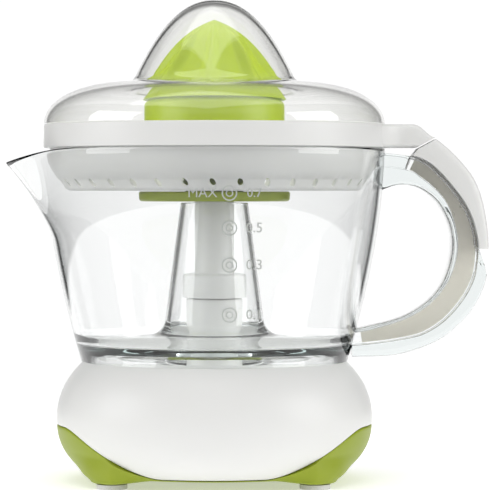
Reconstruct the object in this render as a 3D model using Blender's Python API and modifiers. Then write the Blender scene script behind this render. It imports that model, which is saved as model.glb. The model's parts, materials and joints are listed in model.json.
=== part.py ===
"""Citrus press juicer: motor base, clear jug on a drive column, strainer, reaming cone and dust cover.

Sizes are in millimetres and are turned to metres where a mesh is made. The drive axis is the local
Z axis of the empty "drive_axis", which stands at the middle of the object's length, so that the
origin lies under the middle of the whole object. The spout points to -X and the handle to +X.
"""

import math

import bmesh
import bpy
import numpy as np

MM = 0.001
AROUND = 48            # steps round the big shells
SMALL_AROUND = 16      # steps round pins, bushes and shafts

# Clearances
GAP = 0.3              # between pieces that only touch
RUN_GAP = 0.4          # round a shaft, pin or plunger that moves
WALL = 2.0             # opaque shells
CLEAR_WALL = 2.4       # the jug's wall

# Overall plan
BODY_R = 75.7          # strainer ring and foot of the dust cover
BOWL_R = 70.2          # widest part of the base
SPOUT_REACH = 93.2     # drive axis to spout tip
HANDLE_REACH = 121.4   # drive axis to the back of the handle

# Base
FOOT_R = 6.7
FOOT_H = 2.2
FOOT_X = 43.8
FOOT_Y = 40.0
SKIRT_FLOOR_Z = 4.5
BELT_Z = 29.0
DECK_Z = 53.0
DECK_R = 58.5
PLINTH_H = 2.0
TOWER_R = 12.5
TOWER_H = 27.8
UNDER_DEPTH = 34.3     # how far below the belt the bowl's curve would close
UNDER_POWER = 2.6
APRON_LOW_Z = 5.4
APRON_HIGH_Z = 25.5
APRON_START = 22.0     # degrees from the front where the apron's edge starts to climb
APRON_END = 69.0
LOBE_BULGE = 8.5
LOBE_SPREAD = 22.0     # degrees
PEG_R = 2.0            # the foot's peg
PILLAR_RING_R = 50.0   # circle on which the four base screws stand
PILLAR_R = 4.0
BOSS_R = 5.0
PLATE_BOSS_R = 3.2
SCREW_R = 1.5
SCREW_HEAD_R = 3.0
BASE_SCREW_TIP_Z = 20.0
GLAND_Z = 13.0
GLAND_R = 4.5
GLAND_BORE_R = 2.6

# Jug
JUG_H = 94.1
JUG_FOOT_R = 59.2
JUG_FLOOR_H = 5.4      # foot rim to the floor's underside
JUG_FLOOR_T = 2.4
JUG_TAPER_POWER = 1.7
COLUMN_TOP_R = 15.0
COLUMN_FOOT_R = 22.0
COLUMN_FLARE = 2.4
SPOUT_DIP = 6.2
SPOUT_DEPTH = 40.0     # rim down to where the spout dies into the wall
SPOUT_SPREAD = 17.0    # degrees
HANDLE_W = 22.0
HANDLE_WEB = 4.0
COVER_STOP = 0.525     # share of the jug's height where the handle cover ends
COVER_EDGE_R = 1.0     # rounding of the handle cover's edges
JOINT_GAP = 0.8        # slanted joint between the handle cover and the thumb tab

# Strainer
RING_H = 10.5
BASKET_DROP = 18.9     # jug rim to the basket's underside
BASKET_T = 1.8
BASKET_DRAW = 11.2     # how far the basket's wall draws in from the rim to its foot
LIP_H = 1.8
SLOTS = 32
SLOT_W = 2.2
HUB_R = 13.2
TAB_W = 22.0

# Regulator, spindle and cone
DISC_R = 33.8
DISC_T = 4.4
SPINDLE_R = 8.8
COLLAR_R = 14.2
COLLAR_H = 10.3
DRIVE_HEX_R = 7.6
CONE_SKIRT_R = 31.2
CONE_RISE = 46.8       # ring top to the cone's tip
CONE_SHOULDER = 34.0   # tip down to the top of the skirt
CONE_T = 2.0
RIBS = 8

# Dust cover
COVER_SHOULDER_H = 18.5
DOME_R = 35.5
DOME_H = 34.4
COVER_T = 1.8

# Drive
PRESS = 2.5            # how far the cone presses down before the motor starts
SHAFT_R = 4.0
BUSH_R = 7.0
PIN_R = 2.0
MOTOR_SHAFT_R = 1.6
OUT_TEETH, OUT_MODULE = 40, 1.2
IDLER_SMALL_TEETH = 10
IDLER_BIG_TEETH, FAST_MODULE = 36, 0.9
MOTOR_TEETH = 9
BACKLASH = 0.12        # taken off each tooth flank, mm
MOTOR_X = 28.0
ROTOR_R = 12.4
CORE_T = 10.0
PLATE_Z = 40.0
PLATE_T = 2.5
PLATE_END_R = 15.0
SPRING_H = 22.0
SPRING_R = 5.6
SPRING_WIRE_R = 0.45
SPRING_TURNS = 6
PLUNGER_R = 1.6
LAMINATION_HOLE_R = 1.4
BRIDGE_T = 1.6

# Sizes that follow from others: the rim is as wide as the ring that covers it
JUG_TOP_R = BODY_R + 0.2
BASKET_FOOT_R = JUG_TOP_R - BASKET_DRAW

# Heights worked out from the sizes above
JUG_FOOT_Z = DECK_Z + GAP
RIM_Z = JUG_FOOT_Z + JUG_H
RING_Z = RIM_Z + GAP
RING_TOP_Z = RING_Z + RING_H
BASKET_Z = RIM_Z - BASKET_DROP + GAP
BASKET_TOP_Z = BASKET_Z + BASKET_T
DISC_TOP_Z = BASKET_Z - GAP
DISC_Z = DISC_TOP_Z - DISC_T
TOWER_TOP_Z = DECK_Z + TOWER_H
COLLAR_Z = TOWER_TOP_Z + GAP
COLLAR_TOP_Z = COLLAR_Z + COLLAR_H
COVER_Z = RING_TOP_Z + GAP
DOME_Z = COVER_Z + COVER_SHOULDER_H + 2.0
CONE_TIP_Z = RING_TOP_Z + CONE_RISE
CONE_BOTTOM_Z = BASKET_TOP_Z + PRESS + 1.0
HUB_TOP_Z = BASKET_TOP_Z + 5.0
STEM_Z = HUB_TOP_Z + PRESS + 1.5
SKIRT_Z = CONE_TIP_Z - CONE_SHOULDER
HEX_Z = BASKET_Z + 6.0
HEX_TOP_Z = SKIRT_Z - 6.0
COLUMN_TOP_Z = DISC_Z - 2 * GAP
PLATE_TOP_Z = PLATE_Z + PLATE_T
DECK_UNDER_Z = DECK_Z - WALL
SPRING_LOW_Z = PLATE_TOP_Z + 4.0
SPRING_TOP_Z = SPRING_LOW_Z + SPRING_H
FLOOR_TOP_Z = SKIRT_FLOOR_Z + WALL
CORE_Z = FLOOR_TOP_Z + 5.5
OUT_GEAR_Z, OUT_GEAR_TOP_Z = PLATE_Z - 9.0, PLATE_Z - 2.4
BIG_GEAR_Z = CORE_Z + CORE_T + 2.5
BIG_GEAR_TOP_Z = BIG_GEAR_Z + 4.5
OUT_CENTRES = OUT_MODULE * (OUT_TEETH + IDLER_SMALL_TEETH) / 2
FAST_CENTRES = FAST_MODULE * (IDLER_BIG_TEETH + MOTOR_TEETH) / 2
IDLER_X = (OUT_CENTRES**2 - FAST_CENTRES**2 + MOTOR_X**2) / (2 * MOTOR_X)
IDLER_Y = math.sqrt(OUT_CENTRES**2 - IDLER_X**2)
AXIS_X = -(HANDLE_REACH - SPOUT_REACH) / 2

COLOURS = {
    "clear": ((0.80, 0.86, 0.84), 0.05, 0.0),
    "white": ((0.83, 0.83, 0.81), 0.35, 0.0),
    "green": ((0.46, 0.65, 0.04), 0.35, 0.0),
    "olive": ((0.36, 0.43, 0.05), 0.35, 0.0),
    "rubber": ((0.62, 0.62, 0.60), 0.7, 0.0),
    "steel": ((0.60, 0.60, 0.62), 0.3, 1.0),
    "brass": ((0.72, 0.55, 0.28), 0.35, 1.0),
    "copper": ((0.70, 0.30, 0.14), 0.4, 1.0),
    "iron": ((0.30, 0.30, 0.32), 0.5, 1.0),
    "nylon": ((0.88, 0.86, 0.78), 0.45, 0.0),
    "black": ((0.03, 0.03, 0.03), 0.5, 0.0),
}


# ---------------------------------------------------------------- scene and objects

def clear_scene():
    for item in list(bpy.data.objects):
        bpy.data.objects.remove(item, do_unlink=True)


def new_collection(name):
    group = bpy.data.collections.new(name)
    bpy.context.scene.collection.children.link(group)
    return group


clear_scene()
PARTS = new_collection("citrus_press_juicer")
CUTTERS = new_collection("cutters")
AXIS = bpy.data.objects.new("drive_axis", None)
AXIS.location = (AXIS_X * MM, 0, 0)
PARTS.objects.link(AXIS)


def material(kind):
    """The Principled material of one finish, made once."""
    found = bpy.data.materials.get(kind)
    if found:
        return found
    colour, roughness, metallic = COLOURS[kind]
    made = bpy.data.materials.new(kind)
    made.use_nodes = True
    shader = made.node_tree.nodes["Principled BSDF"]
    shader.inputs["Base Color"].default_value = (*colour, 1)
    shader.inputs["Roughness"].default_value = roughness
    shader.inputs["Metallic"].default_value = metallic
    return made


def add_mesh(name, verts, faces, edges=()):
    """A mesh object from points in mm, linked nowhere yet."""
    mesh = bpy.data.meshes.new(name)
    mesh.from_pydata([tuple(v * MM for v in p) for p in verts], list(edges), faces)
    mesh.update()
    return bpy.data.objects.new(name, mesh)


def finish(item, kind, at=(0, 0, 0), parent=None, smooth=True):
    """Make an object a part: into the parts collection, under the drive axis, with its material."""
    item.location = [v * MM for v in at]
    item.parent = parent or AXIS
    item.data.materials.clear()
    item.data.materials.append(material(kind))
    PARTS.objects.link(item)
    if smooth and item.type == "MESH":
        for face in item.data.polygons:
            face.use_smooth = True
    return item


def as_cutter(item):
    """An object that only cuts or joins: kept in the other collection, as a wire."""
    item.parent = AXIS
    item.display_type = "WIRE"
    item.hide_render = True
    CUTTERS.objects.link(item)
    return item


def combine(item, operation, tools):
    """Add one exact Boolean modifier for each tool."""
    for tool in tools:
        step = item.modifiers.new(f"{operation.lower()} {tool.name}", "BOOLEAN")
        step.operation = operation
        step.solver = "EXACT"
        step.object = tool


# ---------------------------------------------------------------- shapes

def turned(name, profile, steps=SMALL_AROUND):
    """A closed outline of (r, z), down its outer side, swept round Z; or one that runs axis to axis."""
    on_axis = profile[0][0] == 0
    edges = [(i, i + 1) for i in range(len(profile) - 1)]
    if not on_axis:
        edges.append((len(profile) - 1, 0))
    item = add_mesh(name, [(r, 0, z) for r, z in profile], [], edges)
    screw = item.modifiers.new("turn", "SCREW")
    screw.steps = screw.render_steps = steps
    screw.use_merge_vertices = True
    screw.merge_threshold = 0.00001
    screw.use_smooth_shade = True
    return item


def skinned(name, rings, closed=False):
    """Skin over rings of points, each an (n, 3) array, with flat ends or joined last to first."""
    count = len(rings[0])
    verts = np.vstack(rings)
    faces = []
    last = len(rings) if closed else len(rings) - 1
    for k in range(last):
        low, high = k * count, (k + 1) % len(rings) * count
        faces += [(low + i, low + (i + 1) % count, high + (i + 1) % count, high + i) for i in range(count)]
    if not closed:
        faces.append(tuple(range(count))[::-1])
        faces.append(tuple(range((len(rings) - 1) * count, len(rings) * count)))
    item = add_mesh(name, verts.tolist(), faces)
    work = bmesh.new()
    work.from_mesh(item.data)
    bmesh.ops.recalc_face_normals(work, faces=work.faces)
    work.to_mesh(item.data)
    work.free()
    return item


def box(name, low, high):
    """A box from its lowest to its highest corner."""
    work = bmesh.new()
    bmesh.ops.create_cube(work, size=1.0)
    for v in work.verts:
        v.co = [(a + (b - a) * (c + 0.5)) * MM for a, b, c in zip(low, high, v.co)]
    mesh = bpy.data.meshes.new(name)
    work.to_mesh(mesh)
    work.free()
    return bpy.data.objects.new(name, mesh)


def rod(name, radius, low, high, steps=SMALL_AROUND):
    """A plain cylinder along Z."""
    return turned(name, [(0, high), (radius, high), (radius, low), (0, low)], steps)


def tube(name, bore, radius, low, high, steps=SMALL_AROUND):
    """A plain tube along Z."""
    return turned(name, [(bore, high), (radius, high), (radius, low), (bore, low)], steps)


def prism(name, outlines, low, high):
    """Flat outlines, the first the edge and the others holes, given a thickness along Z."""
    flat = bpy.data.curves.new(name, "CURVE")
    flat.dimensions = "2D"
    flat.fill_mode = "BOTH"
    flat.extrude = (high - low) / 2 * MM
    for outline in outlines:
        line = flat.splines.new("POLY")
        line.points.add(len(outline) - 1)
        for point, (x, y) in zip(line.points, outline):
            point.co = (x * MM, y * MM, 0, 1)
        line.use_cyclic_u = True
    item = bpy.data.objects.new(name + "_curve", flat)
    bpy.context.scene.collection.objects.link(item)
    bpy.context.view_layer.update()
    mesh = bpy.data.meshes.new_from_object(item.evaluated_get(bpy.context.evaluated_depsgraph_get()))
    bpy.data.objects.remove(item)
    work = bmesh.new()
    work.from_mesh(mesh)
    bmesh.ops.remove_doubles(work, verts=work.verts, dist=0.000001)
    bmesh.ops.recalc_face_normals(work, faces=work.faces)
    for v in work.verts:
        v.co.z += (low + high) / 2 * MM
    work.to_mesh(mesh)
    work.free()
    return bpy.data.objects.new(name, mesh)


def circle(radius, count=SMALL_AROUND, centre=(0, 0)):
    """Points of a circle in the plane."""
    return [(centre[0] + radius * math.cos(t), centre[1] + radius * math.sin(t))
            for t in np.linspace(0, 2 * math.pi, count, endpoint=False)]


def round_ring(radius, height, count=AROUND):
    """A ring of points whose radius and height may each be one number or change with the angle."""
    t = np.linspace(0, 2 * math.pi, count, endpoint=False)
    return np.column_stack([radius * np.cos(t), radius * np.sin(t), height * np.ones(count)])


def smooth_curve(points, steps):
    """Points on a Catmull-Rom curve through the given points, with a number of steps to each span."""
    p = np.array([points[0], *points, points[-1]], float)
    out = []
    for i in range(1, len(p) - 2):
        for t in np.linspace(0, 1, steps, endpoint=False):
            a, b, c, d = p[i - 1], p[i], p[i + 1], p[i + 2]
            out.append(0.5 * (2 * b + (c - a) * t + (2 * a - 5 * b + 4 * c - d) * t**2
                              + (3 * b - a - 3 * c + d) * t**3))
    out.append(p[-2])
    return np.array(out)


def smoothstep(t):
    """0 below 0, 1 above 1, and 3t^2 - 2t^3 between."""
    t = np.clip(t, 0, 1)
    return t * t * (3 - 2 * t)


def angles(count=AROUND):
    """The angle of each point of a ring, measured from +X."""
    return np.linspace(0, 2 * math.pi, count, endpoint=False)


# ---------------------------------------------------------------- base

def bowl_r(z):
    """Radius of the bowl: an ellipse from the deck to the belt, a fuller curve from there down."""
    z = np.asarray(z, float)
    rise = (DECK_Z - BELT_Z) / math.sqrt(1 - (DECK_R / BOWL_R) ** 2)
    above = np.sqrt(np.clip(1 - ((z - BELT_Z) / rise) ** 2, 0, 1))
    down = np.clip((BELT_Z - z) / UNDER_DEPTH, 0, 0.999) ** UNDER_POWER
    return BOWL_R * np.where(z > BELT_Z, above, (1 - down) ** (1 / UNDER_POWER))


def apron_z():
    """Height of the parting line: low at front and back, high at the sides."""
    turned_away = np.degrees(np.arcsin(np.abs(np.cos(angles()))))
    climb = smoothstep((turned_away - APRON_START) / (APRON_END - APRON_START))
    return APRON_LOW_Z + (APRON_HIGH_Z - APRON_LOW_Z) * climb


def lobe():
    """1 over each foot, falling off along the ring."""
    foot = math.degrees(math.atan2(FOOT_Y, FOOT_X))
    away = np.degrees(np.arctan2(np.abs(np.sin(angles())), np.abs(np.cos(angles())))) - foot
    return np.exp(-((away / LOBE_SPREAD) ** 2))


def pillar_places():
    """Where the four base screws go."""
    return [(PILLAR_RING_R * math.cos(math.radians(a)), PILLAR_RING_R * math.sin(math.radians(a)))
            for a in (30, 120, 210, 300)]


def foot_places():
    return [(-FOOT_X, -FOOT_Y), (FOOT_X, -FOOT_Y), (-FOOT_X, FOOT_Y), (FOOT_X, FOOT_Y)]


def joined_rods(name, places, radius, low, high, steps=10):
    """Upright cylinders at several places, in one tool object."""
    work = bmesh.new()
    for x, y in places:
        made = bmesh.ops.create_cone(work, cap_ends=True, segments=steps, radius1=radius * MM,
                                     radius2=radius * MM, depth=(high - low) * MM)
        bmesh.ops.translate(work, verts=made["verts"], vec=(x * MM, y * MM, (low + high) / 2 * MM))
    mesh = bpy.data.meshes.new(name)
    work.to_mesh(mesh)
    work.free()
    return as_cutter(bpy.data.objects.new(name, mesh))


def base_skirt():
    """Green underside: its edge follows the apron, and it swells out over the feet."""
    edge = apron_z() - GAP
    rings = [round_ring(20.0, SKIRT_FLOOR_Z), round_ring(bowl_r(SKIRT_FLOOR_Z) - 6, SKIRT_FLOOR_Z)]
    for share in (0.0, 0.15, 0.35, 0.65, 1.0):
        z = SKIRT_FLOOR_Z + (edge - SKIRT_FLOOR_Z) * share
        rings.append(round_ring(bowl_r(z) + LOBE_BULGE * lobe() * (1 - share) ** 2 * (edge > 8), z))
    for share in (1.0, 0.5, 0.0):
        z = FLOOR_TOP_Z + (edge - FLOOR_TOP_Z) * share
        inner = np.minimum(bowl_r(z), bowl_r(edge)) - WALL - 2 * GAP
        rings.append(round_ring(inner, z))
    rings.append(round_ring(20.0, FLOOR_TOP_Z))
    skirt = skinned("base_skirt", rings)
    boss_top = FLOOR_TOP_Z + 3.5
    screw_under = SKIRT_FLOOR_Z + 2.6
    combine(skirt, "UNION", [
        joined_rods("foot_pads", foot_places(), FOOT_R + 1.6, FOOT_H + GAP, FLOOR_TOP_Z + 1, 14),
        joined_rods("skirt_bosses", pillar_places(), BOSS_R, SKIRT_FLOOR_Z + 0.5, boss_top)])
    combine(skirt, "DIFFERENCE", [
        joined_rods("foot_peg_holes", foot_places(), PEG_R + GAP, 0, FOOT_H + 3.2),
        joined_rods("screw_holes", pillar_places(), SCREW_R + GAP, 0, boss_top + 2),
        joined_rods("screw_recesses", pillar_places(), SCREW_HEAD_R + GAP, 0, screw_under)])
    finish(skirt, "olive")


def feet():
    """Four rubber feet, each with a peg in the skirt."""
    peg = FOOT_H + 2.5
    for number, (x, y) in enumerate(foot_places(), 1):
        profile = [(0, peg), (PEG_R, peg), (PEG_R, FOOT_H), (FOOT_R, FOOT_H), (FOOT_R, 0.5),
                   (FOOT_R - 0.5, 0), (0, 0)]
        finish(turned(f"foot_{number}", profile), "rubber", (x, y, 0))


def screw_profile(tip, shoulder, head):
    """Half outline of a screw that points up: tip, underside of the head and outside of the head."""
    return [(0, tip), (SCREW_R, tip), (SCREW_R, shoulder), (SCREW_HEAD_R, shoulder), (SCREW_HEAD_R, head),
            (0, head)]


def base_screws():
    """Screws from below, through the skirt's bosses into the housing's pillars."""
    head_z = SKIRT_FLOOR_Z + 0.5
    head_top = SKIRT_FLOOR_Z + 2.6 - GAP
    for number, (x, y) in enumerate(pillar_places(), 1):
        profile = screw_profile(BASE_SCREW_TIP_Z, head_top, head_z)
        finish(turned(f"base_screw_{number}", profile, 16), "steel", (x, y, 0))


def motor_housing():
    """White bowl with its apron, deck, plinth and the tower that carries the upper bush."""
    edge = apron_z()
    hole = BUSH_R + GAP
    bore = TOWER_R - 2.2
    plinth_r = JUG_FOOT_R - CLEAR_WALL - 2.0
    plinth_z = DECK_Z + PLINTH_H
    rings = [round_ring(r, z) for r, z in
             ((hole, TOWER_TOP_Z), (TOWER_R - 0.6, TOWER_TOP_Z), (TOWER_R, TOWER_TOP_Z - 0.6),
              (TOWER_R, plinth_z), (plinth_r - 1, plinth_z), (plinth_r, plinth_z - 1),
              (plinth_r, DECK_Z), (DECK_R - 0.6, DECK_Z))]
    for share in (0.02, 0.14, 0.3, 0.48, 0.66, 0.84, 1.0):
        z = DECK_Z + (edge - DECK_Z) * share
        rings.append(round_ring(bowl_r(z), z))
    for share in (1.0, 0.7, 0.4, 0.0):
        z = DECK_UNDER_Z + (edge - DECK_UNDER_Z) * share
        rings.append(round_ring(bowl_r(z) - WALL, z))
    rings += [round_ring(r, z) for r, z in
              ((bore, DECK_UNDER_Z), (bore, TOWER_TOP_Z - 2.5), (hole, TOWER_TOP_Z - 2.5))]
    housing = skinned("motor_housing", rings, closed=True)
    pillar_foot = FLOOR_TOP_Z + 3.5 + GAP
    combine(housing, "UNION", [
        joined_rods("pillars", pillar_places(), PILLAR_R, pillar_foot, DECK_UNDER_Z + 1),
        joined_rods("plate_bosses", plate_places(), PLATE_BOSS_R, PLATE_TOP_Z + GAP, DECK_UNDER_Z + 1)])
    combine(housing, "DIFFERENCE", [
        joined_rods("pillar_bores", pillar_places(), SCREW_R + GAP, 0, BASE_SCREW_TIP_Z + 4),
        joined_rods("boss_bores", plate_places(), SCREW_R + GAP, PLATE_TOP_Z - 1, DECK_UNDER_Z - 1),
        gland_hole()])
    finish(housing, "white")


# ---------------------------------------------------------------- mains inlet

def face_out_at_back(item):
    """Stand a piece made along Z square on the apron at the back, at the gland's height."""
    lean = math.atan(float(bowl_r(GLAND_Z + 1) - bowl_r(GLAND_Z - 1)) / 2)
    item.rotation_euler.x = -math.pi / 2 - lean
    item.location = (0, float(bowl_r(GLAND_Z)) * MM, GLAND_Z * MM)


def gland_hole():
    """The round hole for the cord gland, through the apron at the back."""
    hole = rod("gland_hole", GLAND_R + GAP, -8, 8)
    face_out_at_back(hole)
    return as_cutter(hole)


def cord_gland():
    """Flanged grommet in the apron, with the cord's empty bore through it."""
    out = 0.9
    flange = GLAND_R + 1.7
    inside = -WALL - 2.6
    profile = [(GLAND_BORE_R, out + 2.0), (flange - 0.8, out + 2.0), (flange, out + 0.8), (flange, out),
               (GLAND_R, out), (GLAND_R, inside), (GLAND_BORE_R, inside)]
    face_out_at_back(finish(turned("cord_gland", profile), "black"))


def wiring():
    """Cord clamp and terminal block on the skirt's floor, behind the switch."""
    low = FLOOR_TOP_Z + GAP
    finish(box("cord_clamp", (-9, 46, low), (9, 51, low + 5)), "nylon", smooth=False)
    finish(box("terminal_block", (-28, 20, low), (-6, 32, low + 9)), "nylon", smooth=False)


# ---------------------------------------------------------------- motor, gears and switch

def gear_outline(teeth, module, phase=0.0):
    """Four points to a tooth: root, flank foot, flank head and their mirror, on straight flanks."""
    pitch_r = teeth * module / 2
    out = []
    for i in range(teeth):
        centre = 2 * math.pi * (i + phase) / teeth
        slack = BACKLASH / pitch_r
        for radius, share in ((pitch_r - 1.2 * module, -0.31), (pitch_r + 0.9 * module, -0.14),
                              (pitch_r + 0.9 * module, 0.14), (pitch_r - 1.2 * module, 0.31)):
            angle = centre + share * 2 * math.pi / teeth - math.copysign(slack, share)
            out.append((radius * math.cos(angle), radius * math.sin(angle)))
    return out


def mesh_phase(teeth, direction, partner_tooth):
    """Turn, in teeth, that puts a tooth (or a gap, half a tooth on) on the line towards the partner."""
    here = direction / (2 * math.pi) * teeth
    return here % 1 + (0 if partner_tooth else 0.5)


def output_gear():
    """The last gear, whose hex bore drives the sliding shaft."""
    towards = math.atan2(IDLER_Y, IDLER_X)
    outline = gear_outline(OUT_TEETH, OUT_MODULE, mesh_phase(OUT_TEETH, towards, True))
    finish(prism("output_gear", [outline, circle(SHAFT_R + GAP)], OUT_GEAR_Z, OUT_GEAR_TOP_Z), "nylon",
           smooth=False)


def idler_gear():
    """Compound gear: a big wheel driven by the motor and a pinion that drives the output gear."""
    to_out = math.atan2(-IDLER_Y, -IDLER_X)
    to_motor = math.atan2(-IDLER_Y, MOTOR_X - IDLER_X)
    bore = PIN_R + GAP
    small = gear_outline(IDLER_SMALL_TEETH, OUT_MODULE, mesh_phase(IDLER_SMALL_TEETH, to_out, False))
    big = gear_outline(IDLER_BIG_TEETH, FAST_MODULE, mesh_phase(IDLER_BIG_TEETH, to_motor, True))
    idler = prism("idler_gear", [big, circle(bore, 16)], BIG_GEAR_Z, BIG_GEAR_TOP_Z)
    pinion = prism("idler_pinion", [small, circle(bore, 16)], BIG_GEAR_TOP_Z - 1, OUT_GEAR_TOP_Z)
    combine(idler, "UNION", [as_cutter(pinion)])
    pinion.location = (0, 0, 0)
    holder = bpy.data.objects.new("idler_axis", None)
    holder.location = (IDLER_X * MM, IDLER_Y * MM, 0)
    holder.parent = AXIS
    PARTS.objects.link(holder)
    pinion.parent = holder
    finish(idler, "nylon", parent=holder, smooth=False)
    finish(rod("idler_pin", PIN_R, BIG_GEAR_Z - 0.2, PLATE_TOP_Z - 0.5), "steel", parent=holder)


def motor():
    """Shaded-pole motor: laminated core, coil, rotor on its shaft, two bridges and two screws."""
    core_top = CORE_Z + CORE_T
    left, right = MOTOR_X - 18, MOTOR_X + 18
    outline = [(left, -30), (right, -30), (right, 16), (left, 16)]
    window = [(left + 6.5, -24), (right - 6.5, -24), (right - 6.5, -16), (left + 6.5, -16)]
    rotor_hole = circle(ROTOR_R + 0.6, 32, (MOTOR_X, 0))
    core = prism("stator_core", [outline, rotor_hole, window, *motor_screw_holes(left, right)],
                 CORE_Z, core_top)
    finish(core, "iron", smooth=False)
    coil = box("stator_coil", (left + 8, -33.5, CORE_Z - 3.5), (right - 8, -16.6, core_top + 3.5))
    bar = box("coil_bore", (left, -30 - GAP, CORE_Z - GAP), (right, -24 + GAP, core_top + GAP))
    combine(coil, "DIFFERENCE", [as_cutter(bar)])
    finish(coil, "copper", smooth=False)
    rotor = tube("rotor", MOTOR_SHAFT_R + GAP, ROTOR_R, CORE_Z + 0.5, core_top - 0.5, 32)
    finish(rotor, "iron", (MOTOR_X, 0, 0))
    shaft = rod("motor_shaft", MOTOR_SHAFT_R, CORE_Z - 2.6, BIG_GEAR_TOP_Z + 0.6, 16)
    finish(shaft, "steel", (MOTOR_X, 0, 0))
    bridges(core_top, left, right)


def motor_screw_holes(left, right):
    """The holes for the two motor screws, near the ends of the core."""
    return [circle(LAMINATION_HOLE_R, 12, (x, 0)) for x in (left + 2.6, right - 2.6)]


def bridges(core_top, left, right):
    """The bars that carry the rotor's shaft above and below the core, and the screws through them."""
    above, below = core_top + GAP, CORE_Z - GAP - BRIDGE_T
    for name, low in (("motor_bridge_upper", above), ("motor_bridge_lower", below)):
        outline = [(left + 0.3, -4.5), (right - 0.3, -4.5), (right - 0.3, 4.5), (left + 0.3, 4.5)]
        holes = [circle(MOTOR_SHAFT_R + GAP, 16, (MOTOR_X, 0)), *motor_screw_holes(left, right)]
        finish(prism(name, [outline, *holes], low, low + BRIDGE_T), "steel", smooth=False)
    for number, x in enumerate((left + 2.6, right - 2.6), 1):
        head, shank = above + BRIDGE_T + 0.2, LAMINATION_HOLE_R - GAP
        tip = CORE_Z - 3
        profile = [(0, head + 1.3), (2 * shank, head + 1.3), (2 * shank, head), (shank, head), (shank, tip),
                   (0, tip)]
        finish(turned(f"motor_screw_{number}", profile, 12), "steel", (x, 0, 0))


def motor_pinion():
    """The pinion on the motor's shaft."""
    towards = math.atan2(IDLER_Y, IDLER_X - MOTOR_X)
    outline = gear_outline(MOTOR_TEETH, FAST_MODULE, mesh_phase(MOTOR_TEETH, towards, False))
    pinion = prism("motor_pinion", [outline, circle(MOTOR_SHAFT_R + GAP, 16)], BIG_GEAR_Z, BIG_GEAR_TOP_Z)
    finish(pinion, "brass", (MOTOR_X, 0, 0), smooth=False)


def plate_places():
    """Where the three gearbox screws go: one behind the drive shaft, two beside the idler."""
    ex, ey = IDLER_X / OUT_CENTRES, IDLER_Y / OUT_CENTRES
    back, along, aside = 11.2, 15.0, 10.5
    return [(-back * ex, -back * ey), (along * ex - aside * ey, along * ey + aside * ex),
            (along * ex + aside * ey, along * ey - aside * ex)]


def gearbox_plate():
    """Plate under the deck that holds the idler pin and the lower bush."""
    start = math.atan2(IDLER_Y, IDLER_X) + math.pi / 2
    half = np.linspace(0, math.pi, 13)
    outline = [(PLATE_END_R * math.cos(start + t), PLATE_END_R * math.sin(start + t)) for t in half]
    outline += [(IDLER_X - x, IDLER_Y - y) for x, y in outline]
    holes = [circle(BUSH_R + GAP), circle(PIN_R + GAP, 16, (IDLER_X, IDLER_Y))]
    holes += [circle(SCREW_R + GAP, 12, place) for place in plate_places()]
    finish(prism("gearbox_plate", [outline, *holes], PLATE_Z, PLATE_TOP_Z), "steel", smooth=False)
    for number, (x, y) in enumerate(plate_places(), 1):
        head = PLATE_Z - GAP
        profile = screw_profile(head + 8.5, head, head - 1.3)
        finish(turned(f"plate_screw_{number}", profile, 12), "steel", (x, y, 0))


def drive():
    """Steel shaft with its clip and spring, its two bushes, and the plastic spindle that turns the cone."""
    top = COLLAR_TOP_Z + 25.0
    bottom = OUT_GEAR_Z - 4.6
    finish(rod("drive_shaft", SHAFT_R, bottom, top), "steel")
    finish(tube("spring_clip", SHAFT_R + GAP, BUSH_R, SPRING_TOP_Z + GAP, SPRING_TOP_Z + 1.5), "steel")
    finish(tube("shaft_bush_upper", SHAFT_R + GAP, BUSH_R, TOWER_TOP_Z - 6, TOWER_TOP_Z - 0.3), "brass")
    finish(tube("shaft_bush_lower", SHAFT_R + GAP, BUSH_R, PLATE_Z - 1.8, SPRING_LOW_Z - GAP), "brass")
    spring()
    spindle(top)


def spring():
    """Return spring round the steel shaft, a wire of steady pitch."""
    steps = 10
    coil = bpy.data.curves.new("return_spring", "CURVE")
    coil.dimensions = "3D"
    coil.bevel_depth = SPRING_WIRE_R * MM
    coil.bevel_resolution = 1
    coil.use_fill_caps = True
    line = coil.splines.new("POLY")
    line.points.add(SPRING_TURNS * steps)
    low, high = SPRING_LOW_Z + 2 * SPRING_WIRE_R, SPRING_TOP_Z - 2 * SPRING_WIRE_R
    for i, point in enumerate(line.points):
        angle = 2 * math.pi * i / steps
        height = low + (high - low) * i / (SPRING_TURNS * steps)
        point.co = (SPRING_R * math.cos(angle) * MM, SPRING_R * math.sin(angle) * MM, height * MM, 1)
    finish(bpy.data.objects.new("return_spring", coil), "steel")


def spindle(shaft_top):
    """White spindle: a drip collar over the tower's top, a round body and a hex head for the cone."""
    cap = COLLAR_TOP_Z - 2.8
    bore = SHAFT_R + GAP
    body = [(0, HEX_Z), (SPINDLE_R, HEX_Z), (SPINDLE_R, COLLAR_TOP_Z), (COLLAR_R - 0.8, COLLAR_TOP_Z),
            (COLLAR_R, COLLAR_TOP_Z - 0.8), (COLLAR_R, COLLAR_Z), (TOWER_R + RUN_GAP, COLLAR_Z),
            (TOWER_R + RUN_GAP, cap), (bore, cap), (bore, shaft_top + 1), (0, shaft_top + 1)]
    piece = turned("drive_spindle", body)
    head = rod("spindle_hex", DRIVE_HEX_R, HEX_Z - 1, HEX_TOP_Z, 6)
    combine(piece, "UNION", [as_cutter(head)])
    finish(piece, "white")


def switch():
    """Micro switch under the shaft and the plunger that the shaft pushes."""
    low = FLOOR_TOP_Z + GAP
    body_top = low + 10.5
    plunger_top = OUT_GEAR_Z - 4.6 - GAP
    body = box("micro_switch", (-12, -3.4, low), (8, 3.4, body_top))
    bore = rod("plunger_bore", PLUNGER_R + RUN_GAP, body_top - 6, body_top + 4)
    combine(body, "DIFFERENCE", [as_cutter(bore)])
    finish(body, "black", smooth=False)
    finish(rod("switch_plunger", PLUNGER_R, body_top - 2.6, plunger_top), "nylon")


# ---------------------------------------------------------------- jug

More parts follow.
